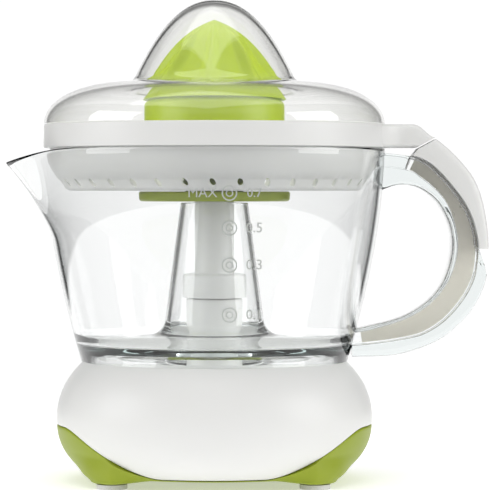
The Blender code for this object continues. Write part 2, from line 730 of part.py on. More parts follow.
def jug_r(z):
    """Radius of the jug's outside, which narrows towards its foot."""
    share = np.clip((z - JUG_FOOT_Z) / JUG_H, 0, 1)
    return JUG_FOOT_R + (JUG_TOP_R - JUG_FOOT_R) * (1 - (1 - share) ** JUG_TAPER_POWER)


def spout(z):
    """How far the spout pushes the wall out at a height, all round: widest at the rim, towards -X."""
    away = np.degrees(np.arccos(-np.cos(angles())))
    across = np.exp(-np.abs(away / SPOUT_SPREAD) ** 1.6)
    up = np.clip((z - (RIM_Z - SPOUT_DEPTH)) / SPOUT_DEPTH, 0, 1) ** 1.35
    return (SPOUT_REACH - JUG_TOP_R) * across * up, across


def jug_rings():
    """The jug's rings, from the foot out and up the wall, over the rim and down to the open column."""
    inner_foot = JUG_FOOT_R - CLEAR_WALL
    floor_z = JUG_FOOT_Z + JUG_FLOOR_H
    floor_top = floor_z + JUG_FLOOR_T
    rings = [round_ring(inner_foot - 0.2, JUG_FOOT_Z), round_ring(JUG_FOOT_R, JUG_FOOT_Z)]
    for share in (0.1, 0.26, 0.42, 0.58, 0.72, 0.84, 0.93, 1.0):
        z = JUG_FOOT_Z + JUG_H * share
        push, across = spout(z)
        rings.append(round_ring(jug_r(z) + push, z - SPOUT_DIP * across * share**6))
    for share in (1.0, 0.93, 0.82, 0.68, 0.5, 0.32, 0.2):
        z = JUG_FOOT_Z + JUG_H * share
        push, across = spout(z)
        rings.append(round_ring(jug_r(z) + push - CLEAR_WALL, z - SPOUT_DIP * across * share**6))
    slope = 4.4
    rings.append(round_ring(jug_r(floor_top + 1) - CLEAR_WALL, floor_top + 1))
    rings.append(round_ring(jug_r(floor_top) - CLEAR_WALL - 1.5, floor_top))
    column_low = floor_top + slope
    t = CLEAR_WALL - 0.4
    rings += [round_ring(r, z) for r, z in (
        (COLUMN_FOOT_R + COLUMN_FLARE, column_low), (COLUMN_FOOT_R + 0.4, column_low + 2.2),
        (COLUMN_TOP_R, COLUMN_TOP_Z), (COLUMN_TOP_R - t, COLUMN_TOP_Z),
        (COLUMN_FOOT_R - t, column_low), (COLUMN_FOOT_R - t + 1.0, column_low - JUG_FLOOR_T),
        (inner_foot - 0.6, floor_z))]
    return rings


def handle_point(reach, share):
    """A point of the handle's side view, from its reach past the wall and its share of the jug's height."""
    return JUG_TOP_R + (HANDLE_REACH - JUG_TOP_R) * reach, JUG_FOOT_Z + JUG_H * share


HANDLE_OUTER = [(-0.33, 0.022), (0.10, 0.032), (0.475, 0.092), (0.70, 0.172), (0.86, 0.262), (0.963, 0.372),
                (1.0, 0.505), (0.985, 0.64), (0.932, 0.767), (0.857, 0.857), (0.76, 0.922), (0.62, 0.993),
                (0.49, 1.045)]
HANDLE_INNER = [(-0.30, 0.150), (-0.14, 0.165), (0.0, 0.182), (0.145, 0.211), (0.317, 0.271), (0.47, 0.338),
                (0.591, 0.412), (0.624, 0.506), (0.611, 0.64), (0.574, 0.695), (0.499, 0.749), (0.387, 0.80),
                (0.176, 0.829), (0.048, 0.826), (-0.02, 0.80)]
JOINT_FOOT = (0.31, 0.998)
RAIL_OUTER = [(-0.24, 0.080), (0.105, 0.099), (0.349, 0.126), (0.552, 0.185), (0.714, 0.268), (0.82, 0.35),
              (0.875, 0.427), (0.897, 0.545), (0.873, 0.616), (0.835, 0.677), (0.76, 0.749), (0.648, 0.822),
              (0.536, 0.883), (0.415, 0.934), (0.253, 0.966)]
RAIL_INNER = [(-0.24, 0.135), (0.105, 0.181), (0.308, 0.216), (0.47, 0.275), (0.591, 0.35), (0.673, 0.444),
              (0.701, 0.566), (0.679, 0.616), (0.648, 0.677), (0.574, 0.757), (0.461, 0.829), (0.349, 0.868),
              (0.229, 0.904)]


def traced(points, steps=2):
    """The smooth side view of a handle line."""
    return [tuple(p) for p in smooth_curve([handle_point(*p) for p in points], steps)]


def upright_prism(name, outline, width):
    """A side view in X and Z given a width across Y."""
    item = prism(name, [outline], -width / 2, width / 2)
    for v in item.data.vertices:
        v.co = (v.co.x, -v.co.z, v.co.y)
    return item


def widened(outline, distance):
    """A closed outline moved out along its corners' normals; it runs anticlockwise."""
    p = np.array(outline, float)
    ahead = np.roll(p, -1, axis=0) - p
    ahead /= np.linalg.norm(ahead, axis=1)[:, None]
    behind = np.roll(ahead, 1, axis=0)
    out = np.column_stack([ahead[:, 1] + behind[:, 1], -ahead[:, 0] - behind[:, 0]])
    square = np.sum(out * out, axis=1)[:, None]
    return [tuple(q) for q in p + out * 2 * distance / square]


def cover_outline():
    """Side view of the handle cover: up the outer line from its stop, and back down the rail's line."""
    stop = handle_point(0, COVER_STOP)[1]
    outer = [p for p in traced(HANDLE_OUTER) if p[1] > stop + 1]
    inner = [p for p in traced(RAIL_OUTER) if p[1] > stop + 1]
    corner = (outer[0][0] + 0.1, stop)
    return [(inner[0][0] + 0.1, stop), corner, *outer, handle_point(*JOINT_FOOT), *inner[::-1]]


def handle_solid():
    """The closed D of the handle, an I-section with its outer rail left to the cover at the top."""
    outline = traced(HANDLE_OUTER) + [handle_point(0.29, 0.99), handle_point(-0.02, 0.985),
                                      handle_point(-0.02, 0.82)]
    outline += traced(HANDLE_INNER)[::-1]
    solid = upright_prism("handle_solid", outline, HANDLE_W)
    band = traced(RAIL_OUTER) + traced(RAIL_INNER)[::-1]
    for side in (-1, 1):
        pocket = upright_prism(f"handle_pocket_{side}", band, HANDLE_W)
        for v in pocket.data.vertices:
            v.co.y += side * (HANDLE_W / 2 + HANDLE_WEB / 2) * MM
        combine(solid, "DIFFERENCE", [as_cutter(pocket)])
    space = upright_prism("cover_space", widened(cover_outline(), GAP), HANDLE_W + 4)
    combine(solid, "DIFFERENCE", [as_cutter(space)])
    return as_cutter(solid)


def jug_inside():
    """The jug's hollow, to trim whatever the handle pushes through the wall."""
    floor = JUG_FOOT_Z + JUG_FLOOR_H + JUG_FLOOR_T
    points = [(0, RIM_Z + 2)]
    for share in (1.02, 0.8, 0.6, 0.4, 0.2, 0.1):
        z = JUG_FOOT_Z + JUG_H * share
        points.append((float(jug_r(z)) - CLEAR_WALL / 2, z))
    points.append((float(jug_r(floor)) - CLEAR_WALL, floor))
    points.append((0, floor))
    return as_cutter(turned("jug_inside", points, AROUND))


def jug():
    """One clear moulding: wall with spout, foot, floor, column and handle."""
    handle = handle_solid()
    combine(handle, "DIFFERENCE", [jug_inside()])
    body = skinned("jug", jug_rings(), closed=True)
    combine(body, "UNION", [handle])
    finish(body, "clear")


def handle_cover():
    """White trim that clips over the outer rail."""
    cover = upright_prism("handle_cover", cover_outline(), HANDLE_W)
    bevel = cover.modifiers.new("soft edges", "BEVEL")
    bevel.width = COVER_EDGE_R * MM
    bevel.segments = 2
    bevel.limit_method = "ANGLE"
    bevel.angle_limit = math.radians(60)
    finish(cover, "white", smooth=False)


# ---------------------------------------------------------------- strainer, regulator, cone and cover

def tab_section(low, high, half):
    """One rounded section of the thumb tab, between its lower and upper points in the side view."""
    low, high = np.array(low, float), np.array(high, float)
    t = np.linspace(0, 2 * math.pi, 20, endpoint=False)
    across = half * np.sign(np.cos(t)) * np.abs(np.cos(t)) ** 0.35
    up = 0.5 + 0.5 * np.sign(np.sin(t)) * np.abs(np.sin(t)) ** 0.35
    side = low + (high - low) * up[:, None]
    return np.column_stack([side[:, 0], across, side[:, 1]])


def tab_solid():
    """Thumb tab over the handle: the ring draws in to the handle's width and slopes down at its tip."""
    low, high = RING_Z + 0.05, RING_TOP_Z - 0.05        # clear of the ring's own faces
    joint = np.array([handle_point(*JOINT_FOOT), handle_point(*HANDLE_OUTER[-1])])
    along = (joint[1] - joint[0]) / np.linalg.norm(joint[1] - joint[0])
    (foot_x, foot_z), (edge_x, edge_z) = joint + JOINT_GAP * np.array([-along[1], along[0]])
    half = TAB_W / 2
    sections = [tab_section((BODY_R - 8, low), (BODY_R - 8, high), half + 19),
                tab_section((BODY_R - 2, low), (BODY_R - 2, high), half + 11),
                tab_section((BODY_R + 3, low), (BODY_R + 3, high), half + 5),
                tab_section((BODY_R + 8, low), (BODY_R + 9, high), half + 2),
                tab_section((foot_x - 2.5, low), (edge_x - 9.5, high + 0.3), half + 0.7),
                tab_section((foot_x - 0.8, low), (edge_x - 4.5, high - 2.4), half + 0.2),
                tab_section((foot_x, foot_z), (edge_x, edge_z), half)]
    return as_cutter(skinned("tab_solid", sections))


def slot_cutters():
    """Slots low in the basket's wall and longer ones in its floor, turned round the axis."""
    work = bmesh.new()
    wall = ((BASKET_FOOT_R - 3.0, BASKET_FOOT_R + 8), (BASKET_Z + 2.2, BASKET_Z + 5.0))
    floor = ((DISC_R + 5, BASKET_FOOT_R - 6), (BASKET_Z - 3, BASKET_TOP_Z + 3))
    for i in range(SLOTS):
        angle = 2 * math.pi * (i + 0.5) / SLOTS
        for (near, far), (low, high) in (wall, floor):
            made = bmesh.ops.create_cube(work, size=1.0)["verts"]
            for v in made:
                x = near + (far - near) * (v.co.x + 0.5)
                y = SLOT_W * v.co.y
                z = low + (high - low) * (v.co.z + 0.5)
                v.co = (MM * (x * math.cos(angle) - y * math.sin(angle)),
                        MM * (x * math.sin(angle) + y * math.cos(angle)), MM * z)
    mesh = bpy.data.meshes.new("slot_cutters")
    work.to_mesh(mesh)
    work.free()
    return as_cutter(bpy.data.objects.new("slot_cutters", mesh))


def strainer():
    """White ring with a slotted basket, a hub hole, a lip for the cover and the thumb tab."""
    fit = JUG_TOP_R - CLEAR_WALL - 2 * GAP
    top = RING_TOP_Z
    inside = fit - BASKET_T
    foot = BASKET_FOOT_R
    profile = [(inside + 0.4, top + LIP_H), (inside + 2.0, top + LIP_H), (inside + 2.0, top),
               (BODY_R - 0.8, top), (BODY_R, top - 0.8), (BODY_R + 0.2, RING_Z), (fit, RING_Z),
               (fit - 0.2, RIM_Z - 4), (fit - 2.6, RIM_Z - 10), (foot + 2.6, BASKET_Z + 3.6),
               (foot, BASKET_Z), (HUB_R, BASKET_Z), (HUB_R, BASKET_TOP_Z), (foot - 1.6, BASKET_TOP_Z),
               (foot + 0.8, BASKET_Z + 4.2), (inside - 2.6, RIM_Z - 9.6), (inside - 0.2, RIM_Z - 3.6)]
    ring = turned("strainer", profile, AROUND)
    tab = tab_solid()
    hollow = rod("ring_hollow", inside + 0.6, RING_Z - 5, top + LIP_H + 5, AROUND)
    combine(tab, "DIFFERENCE", [as_cutter(hollow)])
    combine(ring, "UNION", [tab])
    combine(ring, "DIFFERENCE", [slot_cutters()])
    finish(ring, "white")


def pulp_regulator():
    """Green disc that turns under the basket on a hub through its floor."""
    hub = HUB_R - RUN_GAP
    bore = SPINDLE_R + 1.0
    clip = BASKET_TOP_Z + GAP
    profile = [(bore, HUB_TOP_Z), (hub, HUB_TOP_Z), (hub + 1.4, clip + 1.6), (hub + 1.4, clip), (hub, clip),
               (hub, DISC_TOP_Z), (DISC_R - 0.8, DISC_TOP_Z), (DISC_R, DISC_TOP_Z - 1.2),
               (DISC_R - 0.4, DISC_Z + 1.2), (DISC_R - 1.8, DISC_Z), (bore, DISC_Z)]
    finish(turned("pulp_regulator", profile, 28), "olive")


def cone_r(drop):
    """Radius of the cone's ribs at a drop below the tip: solves drop = 0.35 r + 0.012 r^2 + 0.0003 r^3."""
    r = np.linspace(0, 60, 400)
    return float(np.interp(drop, 0.35 * r + 0.012 * r**2 + 0.0003 * r**3, r))


def cone_ring(share):
    """One ring of the ribbed cone: narrow ridges with broad hollows between them, swept as they rise."""
    drop = CONE_SHOULDER * share
    sweep = 0.35 * (1 - share)
    wave = np.abs(np.cos((angles() + sweep) * RIBS / 2))
    depth = 0.085 * math.sin(math.pi * min(share * 1.15, 1.0)) + 0.02
    return round_ring(cone_r(drop) * (1 - depth * (1 - wave**3)), CONE_TIP_Z - drop)


def reamer_cone():
    """Hollow reaming cone with a round skirt and a hex socket for the spindle."""
    rings = [round_ring(0.4, CONE_TIP_Z - 0.1)]
    rings += [cone_ring(share) for share in (0.04, 0.15, 0.32, 0.52, 0.75, 0.97)]
    skirt_r = CONE_SKIRT_R
    wall = skirt_r - CONE_T
    rings += [round_ring(r, z) for r, z in (
        (skirt_r - 1.2, SKIRT_Z), (skirt_r, SKIRT_Z - 2.4), (skirt_r, CONE_BOTTOM_Z + 0.8),
        (skirt_r - 0.6, CONE_BOTTOM_Z), (wall, CONE_BOTTOM_Z), (wall, SKIRT_Z - 3))]
    for share in (0.8, 0.5):
        drop = CONE_SHOULDER * share
        rings.append(round_ring(cone_r(drop) * 0.88 - CONE_T, CONE_TIP_Z - drop - 1.0))
    stem = DRIVE_HEX_R + RUN_GAP + 3.2
    rings += [round_ring(stem, SKIRT_Z + 4), round_ring(stem, STEM_Z)]
    bore, socket, socket_low = SPINDLE_R + RUN_GAP, DRIVE_HEX_R + RUN_GAP, HEX_Z + 2 + PRESS
    rings += [round_ring(bore, STEM_Z), round_ring(bore, socket_low)]
    rings += [hex_ring(socket, socket_low), hex_ring(socket, HEX_TOP_Z + 0.6)]
    finish(skinned("reamer_cone", rings), "green")


def hex_ring(radius, z):
    """A ring with the points of the others, drawn in to a hexagon."""
    sector = math.pi / 3
    within = np.mod(angles(), sector) - sector / 2
    return round_ring(radius * math.cos(sector / 2) / np.cos(within), z)


def dust_cover():
    """Clear cover: a rounded shoulder up from the ring, then a tall dome over the cone."""
    edge_r = BODY_R
    span = edge_r - DOME_R
    shares = (1.0, 0.97, 0.88, 0.7, 0.4, 0.06)
    fall = [math.sqrt(max(0.0, 1 - u**2.5)) for u in shares]
    outer = [(DOME_R + span * u, COVER_Z + COVER_SHOULDER_H * f) for u, f in zip(shares, fall)]
    outer.append((DOME_R, DOME_Z))
    outer += [(DOME_R * s, DOME_Z + DOME_H * (1 - s**2.2)) for s in (0.88, 0.7, 0.45, 0.2)]
    outer.append((0, DOME_Z + DOME_H))
    outer = outer[::-1]
    inner = [(DOME_R + (span - COVER_T) * u - 0.2, COVER_Z + (COVER_SHOULDER_H - COVER_T) * f)
             for u, f in zip(shares, fall)]
    low_r = DOME_R - COVER_T
    inner.append((low_r, DOME_Z - 0.4))
    inner += [(low_r * s, DOME_Z - 0.4 + (DOME_H - COVER_T + 0.4) * (1 - s**2.2))
              for s in (0.88, 0.7, 0.45, 0.2)]
    inner.append((0, DOME_Z + DOME_H - COVER_T))
    finish(turned("dust_cover", outer + inner, AROUND), "clear")


# ---------------------------------------------------------------- the whole juicer

base_skirt()
feet()
base_screws()
motor_housing()
cord_gland()
wiring()
motor()
motor_pinion()
idler_gear()
output_gear()
gearbox_plate()
drive()
switch()
jug()
handle_cover()
strainer()
pulp_regulator()
reamer_cone()
dust_cover()
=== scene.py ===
# %% [markdown]
# # A citrus press, dressed for its portrait
# The engineering model of the juicer is already packed as a fixed frame. This lesson gives every piece
# that shows its real surface: clear styrene for the jug and cover, satin ABS for the base, green ABS for
# the cone. New pieces are surfaces worked out with numpy, and each one stands exactly where its plain
# version stands.

import json
import math

import bmesh
import bpy
import numpy as np
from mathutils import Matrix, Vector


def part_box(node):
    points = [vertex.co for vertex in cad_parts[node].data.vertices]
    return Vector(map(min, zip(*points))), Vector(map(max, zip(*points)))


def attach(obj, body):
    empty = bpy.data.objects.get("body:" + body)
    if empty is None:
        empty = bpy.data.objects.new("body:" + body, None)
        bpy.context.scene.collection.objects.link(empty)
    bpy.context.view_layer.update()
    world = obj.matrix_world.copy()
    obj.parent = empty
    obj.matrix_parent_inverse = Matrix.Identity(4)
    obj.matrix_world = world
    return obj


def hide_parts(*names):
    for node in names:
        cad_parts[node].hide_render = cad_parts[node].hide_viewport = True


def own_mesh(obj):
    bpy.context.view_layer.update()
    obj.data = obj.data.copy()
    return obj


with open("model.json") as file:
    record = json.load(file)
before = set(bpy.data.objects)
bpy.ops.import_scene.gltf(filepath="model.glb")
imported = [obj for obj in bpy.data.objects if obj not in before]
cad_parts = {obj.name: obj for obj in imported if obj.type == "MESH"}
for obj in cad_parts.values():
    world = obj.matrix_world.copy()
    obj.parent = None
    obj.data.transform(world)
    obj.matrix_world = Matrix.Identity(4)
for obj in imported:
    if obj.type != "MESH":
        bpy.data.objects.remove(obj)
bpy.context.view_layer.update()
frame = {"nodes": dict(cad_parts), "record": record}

# %% [markdown]
# All sizes below are in millimetres from the drive axis, the line that the cone turns about. The box of
# the round regulator disc gives that axis, and the boxes of the other pieces give the heights at which
# they stand. Reading them from the frame means nothing has to be fitted afterwards. The seat gap is the
# hair of room left wherever one loose piece rests on another.

# %% Places read from the frame
MM = 0.001


def box_mm(node):
    """The lowest and highest corners of a node, in mm from the drive axis."""
    low, high = (np.array(corner, float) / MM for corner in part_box(node))
    return low - [AXIS, 0, 0], high - [AXIS, 0, 0]


AXIS = 0.0
disc_low, disc_high = box_mm("pulp_regulator")
AXIS = float(disc_low[0] + disc_high[0]) / 2
DISC_Z = float(disc_low[2])
(jug_low, jug_high), (cone_low, cone_high) = box_mm("jug"), box_mm("reamer_cone")
(cover_low, cover_high), (_, house_high) = box_mm("dust_cover"), box_mm("motor_housing")

SEAT_GAP, RING_H = 0.3, 10.5
FOOT_Z, RIM_Z = float(jug_low[2]), float(jug_high[2])
DECK_Z = FOOT_Z - SEAT_GAP
BOWL_R, TOWER_TOP = float(house_high[1]), float(house_high[2])
BODY_R = float(cover_high[1])
COVER_Z, COVER_TOP = float(cover_low[2]), float(cover_high[2])
RING_TOP = COVER_Z - SEAT_GAP
RING_Z = RING_TOP - RING_H
CONE_TIP, CONE_LOW = float(cone_high[2]), float(cone_low[2])
print(f"axis {AXIS:.2f}, rim {RIM_Z:.1f}, ring {RING_Z:.1f} to {RING_TOP:.1f}, cover top {COVER_TOP:.1f}")

# %% [markdown]
# A turned or moulded piece is a grid of points: each row is one ring, each column runs along the profile.
# The helper below takes the whole grid as one array, so no vertex is touched by hand. Rows wrap round,
# and the last row may join the first. Merging close points afterwards closes a pole where a row has
# shrunk to a dot.

# %% Grid to mesh
def skin(name, grid, joined=False, ends=False, sharp=35):
    """Mesh from a grid (rows, columns, 3) in mm: columns wrap, rows join or get flat ends if asked."""
    rows, columns = grid.shape[:2]
    points = grid.reshape(-1, 3) * MM + [AXIS * MM, 0, 0]
    last = rows if joined else rows - 1
    r, c = np.meshgrid(np.arange(last), np.arange(columns), indexing="ij")
    r2, c2 = (r + 1) % rows, (c + 1) % columns
    quads = np.stack([r * columns + c, r * columns + c2, r2 * columns + c2, r2 * columns + c], -1)
    faces = quads.reshape(-1, 4).tolist()
    if ends:
        faces += [list(range(columns))[::-1], list(range((rows - 1) * columns, rows * columns))]
    mesh = bpy.data.meshes.new(name)
    mesh.from_pydata(points, [], faces)
    return closed_piece(name, mesh, sharp)


def closed_piece(name, mesh, sharp=35):
    """Merge doubles, turn the faces outwards, smooth them up to the sharp angle and link the object."""
    work = bmesh.new()
    work.from_mesh(mesh)
    bmesh.ops.remove_doubles(work, verts=work.verts, dist=0.000002)
    bmesh.ops.recalc_face_normals(work, faces=work.faces)
    work.to_mesh(mesh)
    work.free()
    mesh.shade_smooth()
    mesh.set_sharp_from_angle(angle=math.radians(sharp))
    piece = bpy.data.objects.new(name, mesh)
    bpy.context.scene.collection.objects.link(piece)
    return piece


# %% [markdown]
# Moulded corners are never knife sharp, because steel moulds are cut with round tools. So a profile is
# written as a few corners, each with its own radius, and this helper puts a small arc at each. The radius
# is what catches the light as a thin line along every rim.

# %% Rounded profiles
def rounded(corners, steps=5, closed=True):
    """Each corner (a, b, radius) becomes a short Bezier from one side of the corner to the other."""
    p = np.array([c[:2] for c in corners], float)
    radius = np.array([c[2] for c in corners], float)
    before, after = np.roll(p, 1, axis=0) - p, np.roll(p, -1, axis=0) - p
    if not closed:
        before[0], after[-1] = 0, 0
    out = []
    for corner, b, a, size in zip(p, before, after, radius):
        lengths = np.linalg.norm(b), np.linalg.norm(a)
        if size == 0 or min(lengths) == 0:
            out.append(corner[None])
            continue
        size = min(size, 0.48 * lengths[0], 0.48 * lengths[1])
        t = np.linspace(0, 1, steps)[:, None]
        start, stop = corner + b / lengths[0] * size, corner + a / lengths[1] * size
        out.append((1 - t) ** 2 * start + 2 * t * (1 - t) * corner + t**2 * stop)
    return np.vstack(out)


def spun(profile, columns=192):
    """Grid of a profile (r, z) spun round the drive axis."""
    turn = np.linspace(0, 2 * math.pi, columns, endpoint=False)
    r, z = profile[:, :1], profile[:, 1:2]
    return np.stack([r * np.cos(turn), r * np.sin(turn), z + 0 * turn], -1)


def smoothstep(t):
    """0 below 0, 1 above 1, and 3t^2 - 2t^3 between."""
    t = np.clip(t, 0, 1)
    return t * t * (3 - 2 * t)


# %% [markdown]
# Each new piece needs the same few things: its finish, the engineering body that it moves with, and the
# plain nodes that it stands for. One helper says all three.

# %% Dress a piece
def dress(piece, finish, body, slot, *nodes):
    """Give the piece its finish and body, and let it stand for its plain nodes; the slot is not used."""
    piece.data.materials.clear()
    piece.data.materials.append(finish)
    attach(piece, body)
    if nodes:
        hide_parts(*nodes)
    print(piece.name, len(piece.data.polygons), "faces")


# %% [markdown]
# ## Finishes
# Every finish is a node tree. One small function adds a node, sets its values and links its sockets, so
# each material below reads as a short recipe. Colours are written as sRGB hex values, as a paint chart
# gives them, and turned to the linear values that a renderer needs.

# %% Colour and node helpers
def linear(hex_colour):
    """sRGB hex to linear RGBA by the sRGB curve."""
    channels = np.array([int(hex_colour[i:i + 2], 16) for i in (1, 3, 5)]) / 255
    return (*np.where(channels <= 0.04045, channels / 12.92, ((channels + 0.055) / 1.055) ** 2.4), 1.0)


def add(tree, kind, settings=None, **sockets):
    """Add a node, set its properties, then set or link each named input."""
    node = tree.nodes.new(kind)
    for key, value in (settings or {}).items():
        setattr(node, key, value)
    for key, value in sockets.items():
        socket = node.inputs[key.replace("_", " ")]
        if isinstance(value, bpy.types.NodeSocket):
            tree.links.new(value, socket)
        else:
            socket.default_value = value
    return node


def two_tones(tree, first, second, share):
    """A colour between two sRGB colours, at the share that another socket gives."""
    tone = add(tree, "ShaderNodeMix", {"data_type": "RGBA"}, Factor=share)
    tone.inputs["A"].default_value, tone.inputs["B"].default_value = linear(first), linear(second)
    return tone.outputs["Result"]


def new_material(name):
    """An empty node material with its output and its object coordinates."""
    made = bpy.data.materials.new(name)
    made.use_nodes = True
    tree = made.node_tree
    tree.nodes.clear()
    output = add(tree, "ShaderNodeOutputMaterial")
    place = add(tree, "ShaderNodeTexCoord").outputs["Object"]
    return made, tree, output, place


# %% [markdown]
# ABS is the usual plastic of kitchen machines: tough, satin, a little milky. Its mould is spark eroded,
# which leaves a grain of about 0.25 mm. A fine noise lifts the surface by about a hundredth of a
# millimetre and also breaks up the gloss, and a slow noise shifts the colour by a hair, as flow in the
# mould does.

# %% Moulded ABS
def moulded_abs(name, colour, deeper, gloss, grain=0.25, milky=0.0, lift=0.012):
    """Injection-moulded ABS: base colour, a slightly deeper tone of it, gloss and grain in mm."""
    made, tree, output, place = new_material(name)
    slow = add(tree, "ShaderNodeTexNoise", Vector=place, Scale=28.0, Detail=3.0, Roughness=0.5)
    fine = add(tree, "ShaderNodeTexNoise", Vector=place, Scale=1 / (grain * MM), Detail=2.0)
    tone = two_tones(tree, colour, deeper, slow.outputs["Fac"])
    rough = add(tree, "ShaderNodeMapRange", Value=fine.outputs["Fac"], 
                To_Min=gloss - 0.05, To_Max=gloss + 0.06)
    bump = add(tree, "ShaderNodeBump", Height=fine.outputs["Fac"], Strength=0.25, Distance=lift * MM)
    shader = add(tree, "ShaderNodeBsdfPrincipled", Base_Color=tone, IOR=1.53,
                 Roughness=rough.outputs["Result"], Normal=bump.outputs["Normal"],
                 Subsurface_Weight=milky, Subsurface_Radius=(0.6, 0.6, 0.5), Subsurface_Scale=2.5 * MM)
    tree.links.new(shader.outputs["BSDF"], output.inputs["Surface"])
    return made


white_abs = moulded_abs("white_satin_abs", "#E6E6E4", "#E3E3E1", gloss=0.36, milky=0.1)
green_abs = moulded_abs("lime_green_abs", "#BAD00A", "#B2CA0A", gloss=0.36, milky=0.15)
base_green_abs = moulded_abs("leaf_green_abs", "#93A206", "#8A9904", gloss=0.4, milky=0.05)
black_nylon = moulded_abs("black_moulded_nylon", "#1B1B1C", "#202021", gloss=0.5)
acetal = moulded_abs("natural_acetal", "#EDE7D2", "#E8E1C8", gloss=0.4, milky=0.2)
print("plastics", [m.name for m in (white_abs, green_abs, base_green_abs, black_nylon, acetal)])

# %% [markdown]
# The jug and the cover are styrene-acrylonitrile, a hard clear plastic with an index of 1.57. A pane of
# it is nearly colourless, but light that runs along inside a wall comes out blue-green. Absorption inside
# the material gives exactly that: it grows with the length of plastic that a ray crosses. Polished moulds
# leave only a faint long ripple, so the bump is slow and shallow. A ray that looks for a lamp passes
# straight through, because bending it would leave everything inside the jug unlit. The raised scale is
# etched in the mould, so it scatters light and reads as pale grey. The sunk band of the handle gets a
# pale cream matt skin too: that colour is painted shade, standing in for the shade inside its hollow.

# %% Clear styrene-acrylonitrile
SAN_INDEX = 1.57


def clear_san(name, keeps, per_metre, ripple=0.02):
    """Clear moulding: the colour that it keeps, how strongly it absorbs per metre, and the ripple in mm."""
    made, tree, output, place = new_material(name)
    flow = add(tree, "ShaderNodeTexNoise", Vector=place, Scale=45.0, Detail=1.0)
    haze = add(tree, "ShaderNodeTexNoise", Vector=place, Scale=900.0, Detail=2.0)
    rough = add(tree, "ShaderNodeMapRange", Value=haze.outputs["Fac"], To_Min=0.004, To_Max=0.03)
    bump = add(tree, "ShaderNodeBump", Height=flow.outputs["Fac"], Strength=0.3, Distance=ripple * MM)
    shader = add(tree, "ShaderNodeBsdfPrincipled", Base_Color=(1, 1, 1, 1), IOR=SAN_INDEX,
                 Transmission_Weight=1.0, Roughness=rough.outputs["Result"], Normal=bump.outputs["Normal"])
    inside = add(tree, "ShaderNodeVolumeAbsorption", Color=linear(keeps), Density=per_metre)
    lets_lamps_in = add(tree, "ShaderNodeBsdfTransparent", Color=(0.985, 0.99, 0.985, 1))
    to_lamp = add(tree, "ShaderNodeLightPath").outputs["Is Shadow Ray"]
    both = add(tree, "ShaderNodeMixShader", Fac=to_lamp)
    tree.links.new(shader.outputs["BSDF"], both.inputs[1])
    tree.links.new(lets_lamps_in.outputs["BSDF"], both.inputs[2])
    tree.links.new(both.outputs["Shader"], output.inputs["Surface"])
    tree.links.new(inside.outputs["Volume"], output.inputs["Volume"])
    return made


def etched_san(name, colour, clear, gloss):
    """Etched clear moulding: part of the light scatters at the skin in its colour, the rest goes through; on
    the handle's band that colour is painted shade.
    """
    made, tree, output, place = new_material(name)
    etch = add(tree, "ShaderNodeTexNoise", Vector=place, Scale=3000.0, Detail=3.0)
    patch = add(tree, "ShaderNodeTexNoise", Vector=place, Scale=60.0, Detail=2.0)
    rough = add(tree, "ShaderNodeMapRange", Value=patch.outputs["Fac"],
                To_Min=gloss - 0.1, To_Max=gloss + 0.1)
    bump = add(tree, "ShaderNodeBump", Height=etch.outputs["Fac"], Strength=0.3, Distance=0.01 * MM)
    shader = add(tree, "ShaderNodeBsdfPrincipled", Base_Color=linear(colour), IOR=SAN_INDEX,
                 Transmission_Weight=clear, Roughness=rough.outputs["Result"], Normal=bump.outputs["Normal"])
    tree.links.new(shader.outputs["BSDF"], output.inputs["Surface"])
    return made


# Painted shade: the band's pale cream skin stands in for the shade in the web's sunk hollow.
band_painted_shade = etched_san("san_painted_band_shade", "#F6F3E8", 0.4, 0.3)
etched_mark = etched_san("etched_san_marks", "#C9CCC8", 0.35, 0.45)
clear_jug = clear_san("clear_blue_green_san", "#6AAAA4", 8.0)
clear_cover = clear_san("clear_smoky_san", "#A3A388", 40.0)
print("clear plastics", clear_jug.name, clear_cover.name)

# %% [markdown]
# The feet are soft moulded rubber, dull and a little dusty. The metals inside are plated or turned steel,
# sintered bronze, stamped iron sheets and enamelled copper wire. A metal keeps the renderer's own index,
# and its look comes from its colour and from fine marks along or across it.

# %% Rubber and metals
def soft_rubber():
    """Thermoplastic rubber: rough, with a pebbled skin about 0.4 mm across."""
    made, tree, output, place = new_material("pale_soft_rubber")
    pebble = add(tree, "ShaderNodeTexVoronoi", Vector=place, Scale=2500.0)
    tone = two_tones(tree, "#D9D9D6", "#C6C6C2", pebble.outputs["Distance"])
    bump = add(tree, "ShaderNodeBump", Height=pebble.outputs["Distance"], Strength=0.3, Distance=0.03 * MM)
    shader = add(tree, "ShaderNodeBsdfPrincipled", Base_Color=tone, Roughness=0.72, IOR=1.5,
                 Normal=bump.outputs["Normal"])
    tree.links.new(shader.outputs["BSDF"], output.inputs["Surface"])
    return made


def marked_metal(name, colour, darker, spacing, direction="Z", gloss=0.3):
    """Metal with bands a set spacing apart in mm: turning marks, stacked sheets or laid wire."""
    made, tree, output, place = new_material(name)
    bands = add(tree, "ShaderNodeTexWave", {"bands_direction": direction}, Vector=place,
                Scale=0.314 / (spacing * MM), Distortion=0.6, Detail=2.0)
    tone = two_tones(tree, darker, colour, bands.outputs["Fac"])
    rough = add(tree, "ShaderNodeMapRange", Value=bands.outputs["Fac"], To_Min=gloss + 0.12, To_Max=gloss)
    bump = add(tree, "ShaderNodeBump", Height=bands.outputs["Fac"], Strength=0.4, Distance=0.03 * MM)
    shader = add(tree, "ShaderNodeBsdfPrincipled", Base_Color=tone, Metallic=1.0,
                 Roughness=rough.outputs["Result"], Normal=bump.outputs["Normal"])
    tree.links.new(shader.outputs["BSDF"], output.inputs["Surface"])
    return made


rubber = soft_rubber()
steel = marked_metal("turned_plated_steel", "#C9CBCD", "#B9BBBE", 0.3)
bronze = marked_metal("sintered_bronze", "#C79A5B", "#A97E45", 0.4, gloss=0.4)
iron_sheets = marked_metal("stacked_iron_sheets", "#8A8D91", "#5E6064", 0.5, gloss=0.45)
copper_wire = marked_metal("enamelled_copper_winding", "#B8663A", "#8A4526", 0.35, "Y", gloss=0.3)

